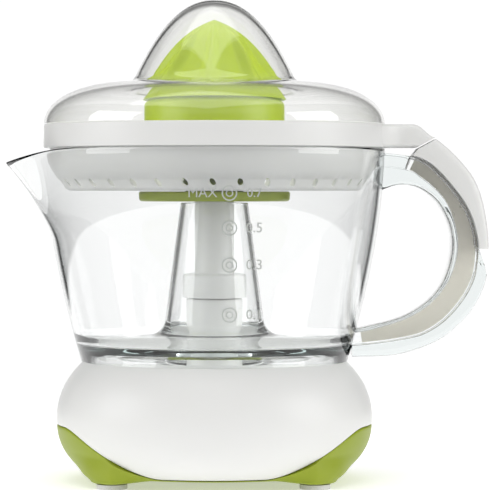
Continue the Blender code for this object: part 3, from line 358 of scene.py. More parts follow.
# %% [markdown]
# ## The base
# The white housing is a bowl whose side is an ellipse above the belt and a fuller curve below it. Its
# lower edge is not level: it hangs low at front and back as an apron and climbs at the sides, where the
# green underside comes up to meet it. Because only the edge changes with the angle, every ring is a
# simple function of it.

# %% The bowl and its apron
BELT_Z, DECK_R, UNDER_DEPTH, UNDER_POWER = 29.0, 58.5, 34.3, 2.6
APRON_LOW, APRON_HIGH, WALL = 5.4, 25.5, 2.0
APRON_START, APRON_END = 22.0, 69.0
BORE_R, TOWER_R, PLINTH_R, PLINTH_H = 7.3, 12.5, 54.8, 2.0
COLUMNS = 240
TURN = np.linspace(0, 2 * math.pi, COLUMNS, endpoint=False)


def bowl_radius(z):
    """Ellipse above the belt; below it (1 - drop^2.6)^(1/2.6), where drop is a share of the closing depth."""
    z = np.asarray(z, float)
    rise = (DECK_Z - BELT_Z) / math.sqrt(1 - (DECK_R / BOWL_R) ** 2)
    above = np.sqrt(np.clip(1 - ((z - BELT_Z) / rise) ** 2, 0, 1))
    drop = np.clip((BELT_Z - z) / UNDER_DEPTH, 0, 0.999) ** UNDER_POWER
    return BOWL_R * np.where(z > BELT_Z, above, (1 - drop) ** (1 / UNDER_POWER))


def apron_edge():
    """Height of the apron's edge round the bowl: a smooth climb from 22 to 69 degrees off the front."""
    aside = np.degrees(np.arcsin(np.abs(np.cos(TURN))))
    climb = smoothstep((aside - APRON_START) / (APRON_END - APRON_START))
    return APRON_LOW + (APRON_HIGH - APRON_LOW) * climb


def ring(radius, height):
    """One row of a grid: a radius and a height, each a number or an array over the turn."""
    return np.column_stack([radius * np.cos(TURN), radius * np.sin(TURN), height * np.ones(COLUMNS)])


def between(share, low, high):
    """The height a share of the way from low to high."""
    return low + (high - low) * share


def motor_bowl():
    """Housing: tower, plinth and deck as a rounded profile, then the wall down to the apron and back up."""
    edge = apron_edge()
    plinth = DECK_Z + PLINTH_H
    top = rounded([(BORE_R, TOWER_TOP, 0.2), (TOWER_R, TOWER_TOP, 0.7), (TOWER_R, plinth, 1.2),
                   (PLINTH_R - 0.2, plinth, 1.0), (PLINTH_R, DECK_Z, 0.3), (DECK_R, DECK_Z, 0.0)],
                  closed=False)
    rows = [ring(r, z) for r, z in top]
    rows += [ring(bowl_radius(between(s, DECK_Z, edge)), between(s, DECK_Z, edge))
             for s in 1 - (1 - np.linspace(0.015, 0.985, 30)) ** 0.9]
    edge_row = bowl_radius(edge)
    rows += [ring(edge_row - 0.1, edge + 0.12), ring(edge_row - 0.5, edge), ring(edge_row - WALL, edge)]
    under = DECK_Z - WALL
    rows += [ring(bowl_radius(between(s, edge, under)) - WALL, between(s, edge, under))
             for s in np.linspace(0.1, 1.0, 9)]
    inside, ceiling = TOWER_R - 2.2, TOWER_TOP - 2.5
    rows += [ring(inside, under), ring(inside, ceiling), ring(BORE_R, ceiling)]
    return skin("motor_bowl", np.stack(rows), joined=True, sharp=40)


bowl = motor_bowl()
dress(bowl, white_abs, "base", "white_plastic", "motor_housing")

# %% [markdown]
# The underside is green. Between the feet it follows the bowl's curve inwards, and over each foot it
# swells into a rounded leg. A bell curve of the angle gives the swelling, and it grows towards the floor,
# so the leg seems to step forward out of the bowl just as it does on the real moulding.

# %% The underside and its four legs
FOOT_X, FOOT_Y = (float(v) for v in (box_mm("foot_4")[0][:2] + box_mm("foot_4")[1][:2]) / 2)
FLOOR_Z, FLOOR_T = 4.5, 2.0
LEG_SPREAD, LEG_SWELL, LEG_START = 21.0, 12.5, 14.5
SOLE_SPREAD, SOLE_DROP = 15.0, 2.0
LEG_ANGLE = math.degrees(math.atan2(FOOT_Y, FOOT_X))


def legs(spread):
    """A bell curve over each of the four foot angles: exp(-(off / spread)^2.6)."""
    off = np.degrees(np.arctan2(np.abs(np.sin(TURN)), np.abs(np.cos(TURN)))) - LEG_ANGLE
    return np.exp(-np.abs(off / spread) ** 2.6)


def green_underside():
    """Wall rings from the parting line down over the legs, then the floor, and the wall's inner side."""
    edge = apron_edge() - 0.35
    leg, sole_bell = legs(LEG_SPREAD), legs(SOLE_SPREAD)
    sole = FLOOR_Z - SOLE_DROP * sole_bell
    inner = np.minimum(bowl_radius(edge) - WALL - 0.6, bowl_radius(FLOOR_Z) - WALL + (edge - FLOOR_Z) * 0.5)
    rows = [ring(inner, edge), ring(bowl_radius(edge) - 0.25, edge)]
    for share in np.linspace(0.03, 1, 26):
        z = between(share, edge, sole)
        growth = np.clip((LEG_START - z) / 12.0, 0, 1) ** 1.3 * np.clip((edge - 6) / 6, 0, 1)
        rounding = 3.0 * np.clip((share - 0.86) / 0.14, 0, 1) ** 2
        rows.append(ring(bowl_radius(np.maximum(z, FLOOR_Z - 0.5)) + LEG_SWELL * leg * growth - rounding, z))
    foot_r, panel = bowl_radius(FLOOR_Z), FLOOR_Z + 0.6
    rows += [ring(foot_r - 8 - 3.0 * sole_bell, sole), ring(46.0, FLOOR_Z), ring(43.0, panel),
             ring(0.001, panel), ring(0.001, panel + FLOOR_T), ring(foot_r - WALL - 4, panel + FLOOR_T)]
    return skin("green_underside", np.stack(rows), joined=True, sharp=50)


underside = green_underside()
dress(underside, base_green_abs, "base", "olive_plastic", "base_skirt")

# %% [markdown]
# The feet are turned discs with a soft lower edge and a shallow cup, which is what keeps them from
# sliding. Each one is a rounded profile spun about its own axis and then carried to its place as a whole
# array.

# %% Feet
def spun_at(name, profile, place, columns=64):
    """A closed profile spun about Z and moved to a place, in mm from the drive axis."""
    return skin(name, spun(profile, columns) + np.array(place, float), joined=True)


def foot_profile(radius=6.7, top=2.2, cup=0.35):
    """Foot disc with a cup in its sole; the profile closes on the axis."""
    rim = rounded([(radius, top, 0.3), (radius, 0.0, 0.8), (4.9, 0.0, 0.3), (4.4, cup, 0.2)], closed=False)
    return np.vstack([[0.0, top], rim, [0.0, cup]])


for number in range(1, 5):
    low, high = box_mm(f"foot_{number}")
    spot = (*((low + high) / 2)[:2], 0.0)
    foot = spun_at(f"rubber_foot_{number}", foot_profile(), spot)
    dress(foot, rubber, "base", "rubber", f"foot_{number}")

# %% [markdown]
# ## The jug
# One clear moulding holds the wall, the lip, the foot, the floor and the hollow column over the drive.
# The wall follows a power curve that is nearly upright at the rim and draws in towards the foot. The lip
# is the same wall pushed out along one direction by a bell curve that grows towards the rim, so wall and
# lip stay one surface.

# %% Wall, lip, floor and column
JUG_H = RIM_Z - FOOT_Z
JUG_TOP_R, JUG_FOOT_R, JUG_T = 75.9, 59.2, 2.4
LIP_REACH = -float(jug_low[0])
LIP_DEPTH, LIP_DIP, LIP_SPREAD = 40.0, 6.2, 17.0
FLOOR_UNDER, FLOOR_TOP, COLUMN_H = 5.4, 7.8, 70.2


def jug_radius(z):
    """Foot radius plus the taper times 1 - (1 - share of height)^1.7."""
    share = np.clip((z - FOOT_Z) / JUG_H, 0, 1)
    return JUG_FOOT_R + (JUG_TOP_R - JUG_FOOT_R) * (1 - (1 - share) ** 1.7)


def lip_push(turn, z):
    """How far the lip stands out: a bell across the direction of -X, growing as height^1.35 to the rim."""
    aside = np.degrees(np.arccos(np.clip(-np.cos(turn), -1, 1)))
    across = np.exp(-np.abs(aside / LIP_SPREAD) ** 1.6)
    up = np.clip((z - (RIM_Z - LIP_DEPTH)) / LIP_DEPTH, 0, 1) ** 1.35
    return (LIP_REACH - JUG_TOP_R) * across * up, across


def wall_rows(shares, inset, columns):
    """Rows of the jug's wall at shares of its height, set in by a distance, with the lip pushed out."""
    turn = np.linspace(0, 2 * math.pi, columns, endpoint=False)
    z = FOOT_Z + JUG_H * np.asarray(shares)[:, None]
    push, across = lip_push(turn[None], z)
    r = jug_radius(z) + push - inset
    height = z - LIP_DIP * across * np.asarray(shares)[:, None] ** 6
    return np.stack([r * np.cos(turn), r * np.sin(turn), height + 0 * turn], -1)


def jug_shell(columns=288):
    """The whole moulding as one grid: foot, outer wall, rim, inner wall, floor, column and underneath."""
    floor_low, floor_top, column_top = (FOOT_Z + up for up in (FLOOR_UNDER, FLOOR_TOP, COLUMN_H))
    foot = rounded([(JUG_FOOT_R - JUG_T, FOOT_Z, 0.5), (JUG_FOOT_R + 0.1, FOOT_Z, 0.7)], closed=False)
    outer = wall_rows(np.linspace(0.015, 0.985, 44), 0.0, columns)
    round_rim = (0.993, 0.05), (0.9985, 0.35), (1.0, 1.2), (0.9985, 2.05), (0.993, 2.35)
    rim = np.concatenate([wall_rows([share], inset, columns) for share, inset in round_rim])
    inner = wall_rows(np.linspace(0.985, 0.12, 40), JUG_T, columns)
    wall_foot = float(jug_radius(floor_top)) - JUG_T
    inside = rounded([(wall_foot, floor_top + 2.2, 0), (wall_foot - 0.4, floor_top, 2.4),
                      (26.0, floor_top + 4.2, 3.0), (22.2, floor_top + 8.0, 3.5), (15.0, column_top, 0.8),
                      (13.1, column_top, 0.5), (20.2, floor_top + 8.0, 3.0), (21.5, floor_low + 4.2, 1.5),
                      (JUG_FOOT_R - 4.5, floor_low, 0.6), (JUG_FOOT_R - JUG_T - 0.2, floor_low - 1.5, 0.8)],
                     steps=7, closed=False)
    return np.concatenate([spun(foot, columns), outer, rim, inner, spun(inside, columns)])


jug_body = skin("jug_moulding", jug_shell(), joined=True, sharp=50)
print("jug moulding", len(jug_body.data.polygons), "faces")

# %% [markdown]
# ### The handle
# The handle is a closed D moulded with the jug. Seen from its end it is an I: two rails with a thin web
# between them, which is stiff and saves plastic. Four lines in the side view describe it, the outer and
# inner edge and the two edges of the sunk band. A section is carried along them, so each row of the grid
# is one I.

# %% Handle lines and the I-section
HANDLE_REACH = float(jug_high[0])
STATIONS = 90
COVER_STOP_Z = FOOT_Z + 0.525 * JUG_H
JOINT_FOOT, JOINT_GAP = (0.31, 0.998), 0.8
OUTER_LINE = [(-0.33, 0.022), (0.10, 0.032), (0.475, 0.092), (0.70, 0.172), (0.86, 0.262), (0.963, 0.372),
              (0.998, 0.505), (0.984, 0.64), (0.932, 0.767), (0.857, 0.857), (0.76, 0.922), (0.62, 0.993),
              (0.49, 1.045)]
INNER_LINE = [(-0.33, 0.150), (-0.14, 0.170), (0.072, 0.196), (0.18, 0.216), (0.287, 0.244), (0.385, 0.277),
              (0.473, 0.318), (0.545, 0.367), (0.597, 0.425), (0.632, 0.490), (0.644, 0.550), (0.632, 0.610),
              (0.591, 0.672), (0.500, 0.747), (0.365, 0.803), (0.232, 0.828), (0.086, 0.826), (-0.06, 0.80)]
BAND_OUTER = [(-0.33, 0.075), (-0.14, 0.083), (0.105, 0.099), (0.349, 0.126), (0.552, 0.185), (0.714, 0.268),
              (0.82, 0.35), (0.875, 0.427), (0.897, 0.545), (0.873, 0.616), (0.835, 0.677), (0.76, 0.749),
              (0.648, 0.822), (0.536, 0.883), (0.415, 0.934), (0.253, 0.966), (-0.06, 0.985)]
BAND_INNER = [(-0.33, 0.136), (-0.167, 0.147), (0.082, 0.181), (0.21, 0.205), (0.336, 0.238), (0.442, 0.277),
              (0.541, 0.330), (0.610, 0.382), (0.658, 0.437), (0.690, 0.500), (0.699, 0.555), (0.684, 0.612),
              (0.644, 0.683), (0.577, 0.752), (0.472, 0.812), (0.338, 0.863), (0.227, 0.895), (-0.06, 0.915)]


def handle_points(shares):
    """(reach, height) shares of the handle as mm from the drive axis."""
    return np.array(shares, float) * [HANDLE_REACH - JUG_TOP_R, JUG_H] + [JUG_TOP_R, FOOT_Z]


def handle_line(points, stations=STATIONS):
    """Catmull-Rom curve through (reach, height) shares, taken at even steps of its length, in mm."""
    p = np.array([points[0], *points, points[-1]], float)
    t = np.linspace(0, 1, 12, endpoint=False)[:, None, None]
    a, b, c, d = p[None, :-3], p[None, 1:-2], p[None, 2:-1], p[None, 3:]
    bend, twist = 2 * a - 5 * b + 4 * c - d, 3 * b - a - 3 * c + d
    curve = 0.5 * (2 * b + (c - a) * t + bend * t**2 + twist * t**3)
    curve = np.vstack([curve.transpose(1, 0, 2).reshape(-1, 2), p[-1]])
    curve = handle_points(curve)
    length = np.concatenate([[0], np.cumsum(np.linalg.norm(np.diff(curve, axis=0), axis=1))])
    even = np.linspace(0, length[-1], stations)
    return np.column_stack([np.interp(even, length, curve[:, k]) for k in (0, 1)])


def softened(corners, size):
    """Corners (rows, corner, 3) each become five points of a Bezier that starts and ends a size away."""
    before, after = np.roll(corners, 1, axis=1) - corners, np.roll(corners, -1, axis=1) - corners
    reach = []
    for side in (before, after):
        length = np.linalg.norm(side, axis=-1, keepdims=True)
        reach.append(side / np.maximum(length, 1e-6) * np.minimum(size[None, :, None], 0.45 * length))
    start, stop = corners + reach[0], corners + reach[1]
    points = [start, (start * 9 + corners * 6 + stop) / 16, (start + 2 * corners + stop) / 4,
              (start + corners * 6 + stop * 9) / 16, stop]
    return np.stack(points, axis=2).reshape(len(corners), -1, 3)


def across(line, half):
    """Points of a side-view line set half a width to one side."""
    return np.column_stack([line[:, 0], half + np.zeros(len(line)), line[:, 1]])


HALF_WIDTH, HALF_WEB = 11.0, 2.0
BRACKET_REACH, GRIP_REACH = 85.0, 80.0
RAIL_UNDER_COVER = 0.8


def covered(band_out):
    """How far each row lies under the white cover, from 0 below its stop to 1 above it."""
    above = band_out[:, 1:] - COVER_STOP_Z
    return np.maximum(smoothstep(above / 1.2) * (band_out[:, :1] > GRIP_REACH), smoothstep((above - 20) / 5))


def handle_grid():
    """Rows of the I-section; above the cover's stop the outer rail thins to a lip that the cover sits on."""
    outer = handle_line(OUTER_LINE)
    inner = handle_line(INNER_LINE)
    band_out, band_in = handle_line(BAND_OUTER), handle_line(BAND_INNER)
    under_cover = covered(band_out)
    towards_inner = (band_in - band_out) / np.linalg.norm(band_in - band_out, axis=1)[:, None]
    outer = outer * (1 - under_cover) + (band_out + 0.35 * towards_inner) * under_cover
    band_out = band_out + RAIL_UNDER_COVER * towards_inner * under_cover
    w = HALF_WIDTH
    block = smoothstep((BRACKET_REACH - band_in[:, 0]) / 1.2) * (band_in[:, 1] > COVER_STOP_Z)
    b = HALF_WEB + (w - 0.6 - HALF_WEB) * block
    corners = np.stack([across(outer, -w), across(outer, w), across(band_out, w), across(band_out, b),
                        across(band_in, b), across(band_in, w), across(inner, w), across(inner, -w),
                        across(band_in, -w), across(band_in, -b), across(band_out, -b),
                        across(band_out, -w)], 1)
    sizes = np.array([1.6, 1.6, 0.5, 0.8, 0.8, 0.5, 1.6, 1.6, 0.5, 0.8, 0.8, 0.5])
    return softened(corners, sizes)


handle_part = skin("handle_part", handle_grid(), ends=True, sharp=40)
print("handle", len(handle_part.data.polygons), "faces")

# %% [markdown]
# Wall and handle are one piece of plastic, so they are joined into one skin. A hidden face left inside
# clear plastic would show as a ghost. The handle's ends are first trimmed back to the middle of the wall
# by taking the jug's hollow away from them, and then the two solids are united and the result is kept as
# plain mesh.

# %% Join wall and handle
def worked_out(piece):
    """The mesh of an object with its modifiers applied; the object itself is removed."""
    bpy.context.view_layer.update()
    mesh = bpy.data.meshes.new_from_object(piece.evaluated_get(bpy.context.evaluated_depsgraph_get()))
    bpy.data.objects.remove(piece)
    return mesh


def joined(name, base, operation, tool):
    """Apply one exact Boolean, keep the result as a new closed piece and drop the two that it came from."""
    cut = base.modifiers.new(operation, "BOOLEAN")
    cut.operation, cut.solver, cut.object = operation, "EXACT", tool
    mesh = worked_out(base)
    mesh.name = name
    bpy.data.objects.remove(tool)
    return closed_piece(name, mesh, 38)


hollow = wall_rows(np.linspace(0.1, 0.999, 24), JUG_T * 0.5, 144)
hollow = np.concatenate([hollow, hollow[-1:] + [0, 0, 3]])
handle_part = joined("handle_part", handle_part, "DIFFERENCE", skin("jug_hollow", hollow, ends=True))
jug = joined("clear_jug", jug_body, "UNION", handle_part)
dress(jug, clear_jug, "jug_body", "clear_jug", "jug")

# %% [markdown]
# The sunk band of the web lies in shade, and that shade is painted on as a pale matt skin with a fine
# etched grain. Two finishes on one clear solid would confuse its absorption, because a ray has to enter
# and leave through the same one. So each side of the web gets a thin skin of its own with the painted
# shade, a hair off the clear plastic.

# %% Painted shade on the handle's band
def band_shade_skin(side, inset=0.6, proud=0.06, thickness=0.2):
    """A thin painted-shade skin on one face of the web, as rows of four corners, clear of the wall and the
    bracket.
    """
    near, far = handle_line(BAND_INNER), handle_line(BAND_OUTER)
    reach = np.minimum(near[:, 0], far[:, 0])
    by_bracket = (near[:, 1] > COVER_STOP_Z) & (reach <= BRACKET_REACH + 1.5)
    kept = (reach > jug_radius(near[:, 1]) + 1.5) & ~by_bracket
    near, far = near[kept], far[kept]
    inwards = (near - far) / np.linalg.norm(near - far, axis=1)[:, None]
    far, near = far + (inset + RAIL_UNDER_COVER * covered(far)) * inwards, near - inset * inwards
    low, high = side * (HALF_WEB + proud), side * (HALF_WEB + proud + thickness)
    return np.stack([across(far, low), across(far, high), across(near, high), across(near, low)], 1)


for side, label in ((-1, "front"), (1, "back")):
    film = skin(f"band_painted_shade_{label}", band_shade_skin(side), ends=True, sharp=30)
    dress(film, band_painted_shade, "jug_body", "clear_jug")

# %% [markdown]
# ### Scale marks
# The scale is moulded in the front of the wall as raised rings and numbers. Text starts as a flat
# outline. Once it is a mesh, its height and width are wrapped round the wall: a point's sideways distance
# becomes an angle, and its thickness is added to the wall's radius at that height. The marks stand 0.3 mm
# proud.

# %% Raised rings and numbers
def flat_text(words, height):
    """Text as a mesh in mm, centred, with its thickness along Z from -0.5 to 0.5."""
    curve = bpy.data.curves.new("words", "FONT")
    curve.body, curve.size = words, height
    curve.align_x, curve.align_y, curve.extrude, curve.resolution_u = "CENTER", "CENTER", 0.5, 4
    source = bpy.data.objects.new("words", curve)
    bpy.context.scene.collection.objects.link(source)
    return worked_out(source)


def flat_ring(radius, band):
    """A flat ring of square section as a mesh, with its thickness along Z from -0.5 to 0.5."""
    section = rounded([(radius, 0.5, 0.15), (radius, -0.5, 0.15), (radius - band, -0.5, 0.15),
                       (radius - band, 0.5, 0.15)], steps=3)
    made = skin("flat_ring", spun(section, 40) / MM, joined=True)
    mesh = made.data
    bpy.data.objects.remove(made)
    points = np.empty(len(mesh.vertices) * 3)
    mesh.vertices.foreach_get("co", points)
    points = points.reshape(-1, 3) - [AXIS * MM, 0, 0]
    mesh.vertices.foreach_set("co", points.ravel())
    return mesh


def wrapped(name, mesh, x, z, proud=0.3):
    """Wrap a flat mesh on the jug's front at (x, z): angle = x / radius, thickness goes outwards."""
    count = len(mesh.vertices)
    flat = np.empty(count * 3)
    mesh.vertices.foreach_get("co", flat)
    flat = flat.reshape(-1, 3)
    height = z + flat[:, 1]
    wall = jug_radius(height)
    angle = -math.pi / 2 + (x + flat[:, 0]) / wall
    r = wall + 0.03 + proud * (flat[:, 2] + 0.5)
    bent = np.column_stack([r * np.cos(angle) + AXIS, r * np.sin(angle), height]) * MM
    mesh.vertices.foreach_set("co", bent.ravel())
    return closed_piece(name, mesh, 40)


RING_X, NUMBER_X, WORD_X = 7.1, 17.7, -4.2
Z_AT = {"0.7": 127.7, "0.5": 113.0, "0.3": 97.4, "0.1": 76.2}
marks = [("0.5", NUMBER_X, Z_AT["0.5"], 6.0), ("0.3", NUMBER_X, Z_AT["0.3"], 6.0),
         ("0.1", NUMBER_X, Z_AT["0.1"], 6.0), ("0.7", NUMBER_X, Z_AT["0.7"], 5.4),
         ("MAX", WORD_X, Z_AT["0.7"], 5.8)]
mark_pieces = [wrapped(f"mark_{words.replace('.', '_')}", flat_text(words, size), x, z)
               for words, x, z, size in marks]
for height in Z_AT.values():
    for label, radius, band in (("outer", 3.3, 0.6), ("inner", 1.6, 0.5)):
        mark_pieces.append(wrapped(f"ring_{int(height)}_{label}", flat_ring(radius, band), RING_X, height))
for mark in mark_pieces:
    dress(mark, etched_mark, "jug_body", "clear_jug")

# %% [markdown]
# ### The handle's white cover
# A white trim clips over the outer rail, so that the hand meets warm opaque plastic. It is thick at the
# top, where it meets the thumb tab in a slanted joint, and thins towards its stop halfway down. It is
# carried along the same two lines as the rail, cut to the stretch that it covers.

# %% Handle cover
def upper_stretch(line, low_z, high_z, stations=48):
    """The part of a line above a height on its outer side, at even steps, ended at another height."""
    z = line[:, 1]
    first = np.argmax(z > low_z)
    last = len(z) - 1 - np.argmax(z[::-1] < high_z)
    index = np.linspace(first, last, stations)
    return np.column_stack([np.interp(index, np.arange(len(z)), line[:, k]) for k in (0, 1)])


joint_line = handle_points([JOINT_FOOT, OUTER_LINE[-1]])


def cover_trim():
    """White trim: a rounded section between the outer line and the rail's, from the stop to the joint."""
    stop, fine = COVER_STOP_Z + SEAT_GAP, 600
    outer = upper_stretch(handle_line(OUTER_LINE, fine), stop, RIM_Z + 3.9)
    under = upper_stretch(handle_line(BAND_OUTER, fine), stop, RIM_Z - 3.2)
    outer, under = np.vstack([outer, joint_line[1]]), np.vstack([under, joint_line[0]])
    w = HALF_WIDTH
    corners = np.stack([across(outer, -w), across(outer, w), across(under, w), across(under, -w)], 1)
    return skin("handle_trim", softened(corners, np.array([3.2, 3.2, 0.6, 0.6])), ends=True, sharp=40)


trim = cover_trim()
dress(trim, white_abs, "jug_body", "white_plastic", "handle_cover")

# %% [markdown]
# ## Strainer
# The strainer is white, with a ring that rests on the rim, a tab over the handle and a basket that lets
# juice through. The basket starts as an open sheet: a profile spun into a grid, with the cells of each
# slot left out. Solidify then gives it its wall, and the slot edges close by themselves, with no cutting.

# %% Slotted basket
SLOTS, PER_SLOT = 36, 12
SLOT_TOP, SLOT_END, FLOOR_SLOT_TOP, FLOOR_SLOT_END = 5, 9, 14, 22
SLOT_HALF_WIDTH, SLOT_HALF_HEIGHT, SLOT_LEAN = 1.35, 1.75, 0.5
BASKET_T = 1.7
BASKET_Z = DISC_Z + 4.7
FIT_R = JUG_TOP_R - JUG_T - 0.6


def basket_profile():
    """Rows (r, z) from the top of the wall down round the corner and in across the floor to the hub hole."""
    wall = np.array([(FIT_R, RING_Z), (FIT_R - 0.1, RIM_Z - 3.0), (FIT_R - 0.8, RIM_Z - 6.5),
                     (FIT_R - 2.4, RIM_Z - 10), (FIT_R - 4.2, RIM_Z - 13.0)])
    slot = np.column_stack([np.linspace(67.9, 65.9, 5), np.linspace(BASKET_Z + 5.2, BASKET_Z + 1.6, 5)])
    corner = np.array([(65.6, BASKET_Z + 1.1), (64.8, BASKET_Z + 0.3), (63.6, BASKET_Z)])
    floor = np.column_stack([np.concatenate([[60.0], np.linspace(57.5, 40.0, 9), [36.0, 28.0, 20.0, 13.2]]),
                             np.full(14, BASKET_Z)])
    return np.vstack([wall, slot, corner, floor])


def oval(grid_u, grid_v):
    """Square to disc: u * sqrt(1 - v^2 / 2), v * sqrt(1 - u^2 / 2)."""
    return grid_u * np.sqrt(1 - grid_v**2 / 2), grid_v * np.sqrt(1 - grid_u**2 / 2)


def slotted_basket():
    """The sheet with its slot cells left out, given its wall by Solidify, and kept as plain mesh."""
    profile = basket_profile()
    rows, columns = len(profile), SLOTS * PER_SLOT
    pitch, half = 2 * math.pi / columns, PER_SLOT // 2
    turn = np.repeat((np.arange(columns) - half)[None] * pitch, rows, axis=0)
    r, z = np.repeat(profile[:, :1], columns, axis=1), np.repeat(profile[:, 1:2], columns, axis=1)
    slot = np.arange(SLOT_TOP, SLOT_END + 1)
    middle = (SLOT_TOP + SLOT_END) // 2
    u, v = np.meshgrid((np.arange(columns) % PER_SLOT - half) / 2.0, (slot - middle) / 2.0)
    inside = np.abs(u) <= 1
    oval_u, oval_v = oval(np.clip(u, -1, 1), v)
    turn[slot] += np.where(inside, (oval_u * SLOT_HALF_WIDTH + oval_v * SLOT_LEAN - u * 2) * pitch, 0)
    z[slot] = np.where(inside, profile[middle, 1] - oval_v * SLOT_HALF_HEIGHT, z[slot])
    grid = np.stack([r * np.cos(turn), r * np.sin(turn), z], -1)
    row, col = np.meshgrid(np.arange(rows - 1), np.arange(columns), indexing="ij")
    off_middle = np.abs(col % PER_SLOT - half + 0.5)
    in_wall = (row >= SLOT_TOP) & (row < SLOT_END) & (off_middle < 2)
    in_floor = (row >= FLOOR_SLOT_TOP) & (row < FLOOR_SLOT_END) & (off_middle < 1)
    row, col = row[~(in_wall | in_floor)], col[~(in_wall | in_floor)]
    here, below, beside = row * columns, (row + 1) * columns, (col + 1) % columns
    faces = np.stack([here + col, here + beside, below + beside, below + col], -1)
    mesh = bpy.data.meshes.new("slotted_basket")
    mesh.from_pydata(grid.reshape(-1, 3) * MM + [AXIS * MM, 0, 0], [], faces.tolist())
    sheet = bpy.data.objects.new("slotted_basket", mesh)
    bpy.context.scene.collection.objects.link(sheet)
    solid = sheet.modifiers.new("wall", "SOLIDIFY")
    solid.thickness, solid.offset, solid.use_even_offset = BASKET_T * MM, 1.0, True
    return closed_piece("slotted_basket", worked_out(sheet), 40)


basket = slotted_basket()
dress(basket, white_abs, "strainer_body", "white_plastic")

# %% [markdown]
# The ring is a rounded profile spun round, and the tab grows out of it over the handle. The tab is
# carried outwards as a stack of rounded sections that narrow fast at first and then hold the handle's
# width, and its last section is slanted to match the joint with the handle's cover. Ring and tab are
# united into one skin.

# %% Ring with thumb tab
TAB_ROOT = 68.0


def ring_grid():
    """The ring's section: a shallow step inside, the top, a gently flared side, and the flange below."""
    inside, step, flange = FIT_R - 1.8, RING_TOP - 0.4, RING_Z - 2.2
    return spun(rounded([(inside + 0.3, step, 0.5), (inside + 2.0, step, 0.4), (inside + 2.6, RING_TOP, 0.3),
                         (BODY_R - 0.1, RING_TOP, 0.9), (BODY_R + 0.15, RING_Z, 0.5),
                         (FIT_R - 0.05, RING_Z, 0.1), (FIT_R - 0.2, flange, 0.2),
                         (inside + 0.1, flange, 0.2)], steps=6), 288)


def tab_grid(points=40):
    """Sections from inside the ring to the slanted joint: half width falls from 29 to 11 as a soft curve."""
    t = np.linspace(0, 1, 26)
    along = (joint_line[1] - joint_line[0]) / np.linalg.norm(joint_line[1] - joint_line[0])
    (foot_x, foot_z), (edge_x, edge_z) = joint_line + JOINT_GAP * np.array([-along[1], along[0]])
    low_x = np.interp(t, [0, 0.72, 1], [TAB_ROOT, foot_x - 2.5, foot_x])
    high_x = np.interp(t, [0, 0.66, 1], [TAB_ROOT, edge_x - 9.0, edge_x])
    drop = smoothstep((t - 0.62) / 0.38) ** 1.2
    top_z, floor_z = RING_TOP - 0.05, RING_Z + 0.05
    high_z = top_z - (top_z - edge_z) * drop
    low_z = np.interp(t, [0, 0.85, 1], [floor_z, floor_z, max(foot_z, floor_z)])
    half = HALF_WIDTH + 24.0 * np.clip(1 - (low_x - 66.0) / 17.0, 0, 1) ** 2.2
    turn = np.linspace(0, 2 * math.pi, points, endpoint=False)
    side = np.sign(np.cos(turn)) * np.abs(np.cos(turn)) ** 0.3
    up = 0.5 + 0.5 * np.sign(np.sin(turn)) * np.abs(np.sin(turn)) ** 0.3
    x = low_x[:, None] + (high_x - low_x)[:, None] * up
    z = low_z[:, None] + (high_z - low_z)[:, None] * up
    return np.stack([x, half[:, None] * side, z], -1)


tab = skin("tab", tab_grid(), ends=True)
hole_r = FIT_R - 1.4
ring_hole = skin("ring_hole", spun(np.array([(hole_r, RING_Z - 6), (hole_r, RING_TOP + 6)]), 144), ends=True)
tab = joined("tab", tab, "DIFFERENCE", ring_hole)
top_ring = joined("strainer_ring", skin("ring", ring_grid(), joined=True), "UNION", tab)
dress(top_ring, white_abs, "strainer_body", "white_plastic", "strainer")

# %% [markdown]
# Under the basket a green disc turns a little to set how much pulp comes through. It has a hub with a
# snap rim that holds it in the floor. The spindle is a white sleeve with a drip collar over the tower and
# a six-sided head that turns the cone. Both are plain turned pieces, so rounded profiles are all they
# need.

# %% Regulator and spindle
HUB_BORE, HUB_R, SNAP_R, DISC_R = 9.8, 12.8, 14.2, 33.8
HUB_TOP, DISC_TOP, SOCKET_Z = BASKET_Z + 6.8, BASKET_Z - SEAT_GAP, DISC_Z + 1.4
disc_profile = rounded([(HUB_BORE, HUB_TOP, 0.4), (HUB_R, HUB_TOP, 0.6), (SNAP_R, BASKET_Z + 3.6, 0.3),
                        (SNAP_R, BASKET_Z + 2.1, 0.2), (HUB_R, BASKET_Z + 2.1, 0.2), (HUB_R, DISC_TOP, 0.2),
                        (DISC_R, DISC_TOP, 1.3), (DISC_R - 0.4, DISC_Z, 1.4), (16.5, DISC_Z, 0.4),
                        (15.8, SOCKET_Z, 0.4), (HUB_BORE, SOCKET_Z, 0.4)])
regulator = skin("pulp_disc", spun(disc_profile), joined=True, sharp=50)
dress(regulator, base_green_abs, "regulator", "olive_plastic", "pulp_regulator")


SLEEVE_R, COLLAR_R, SHAFT_FIT_R, HEAD_R = 8.8, 14.2, 4.3, 7.6


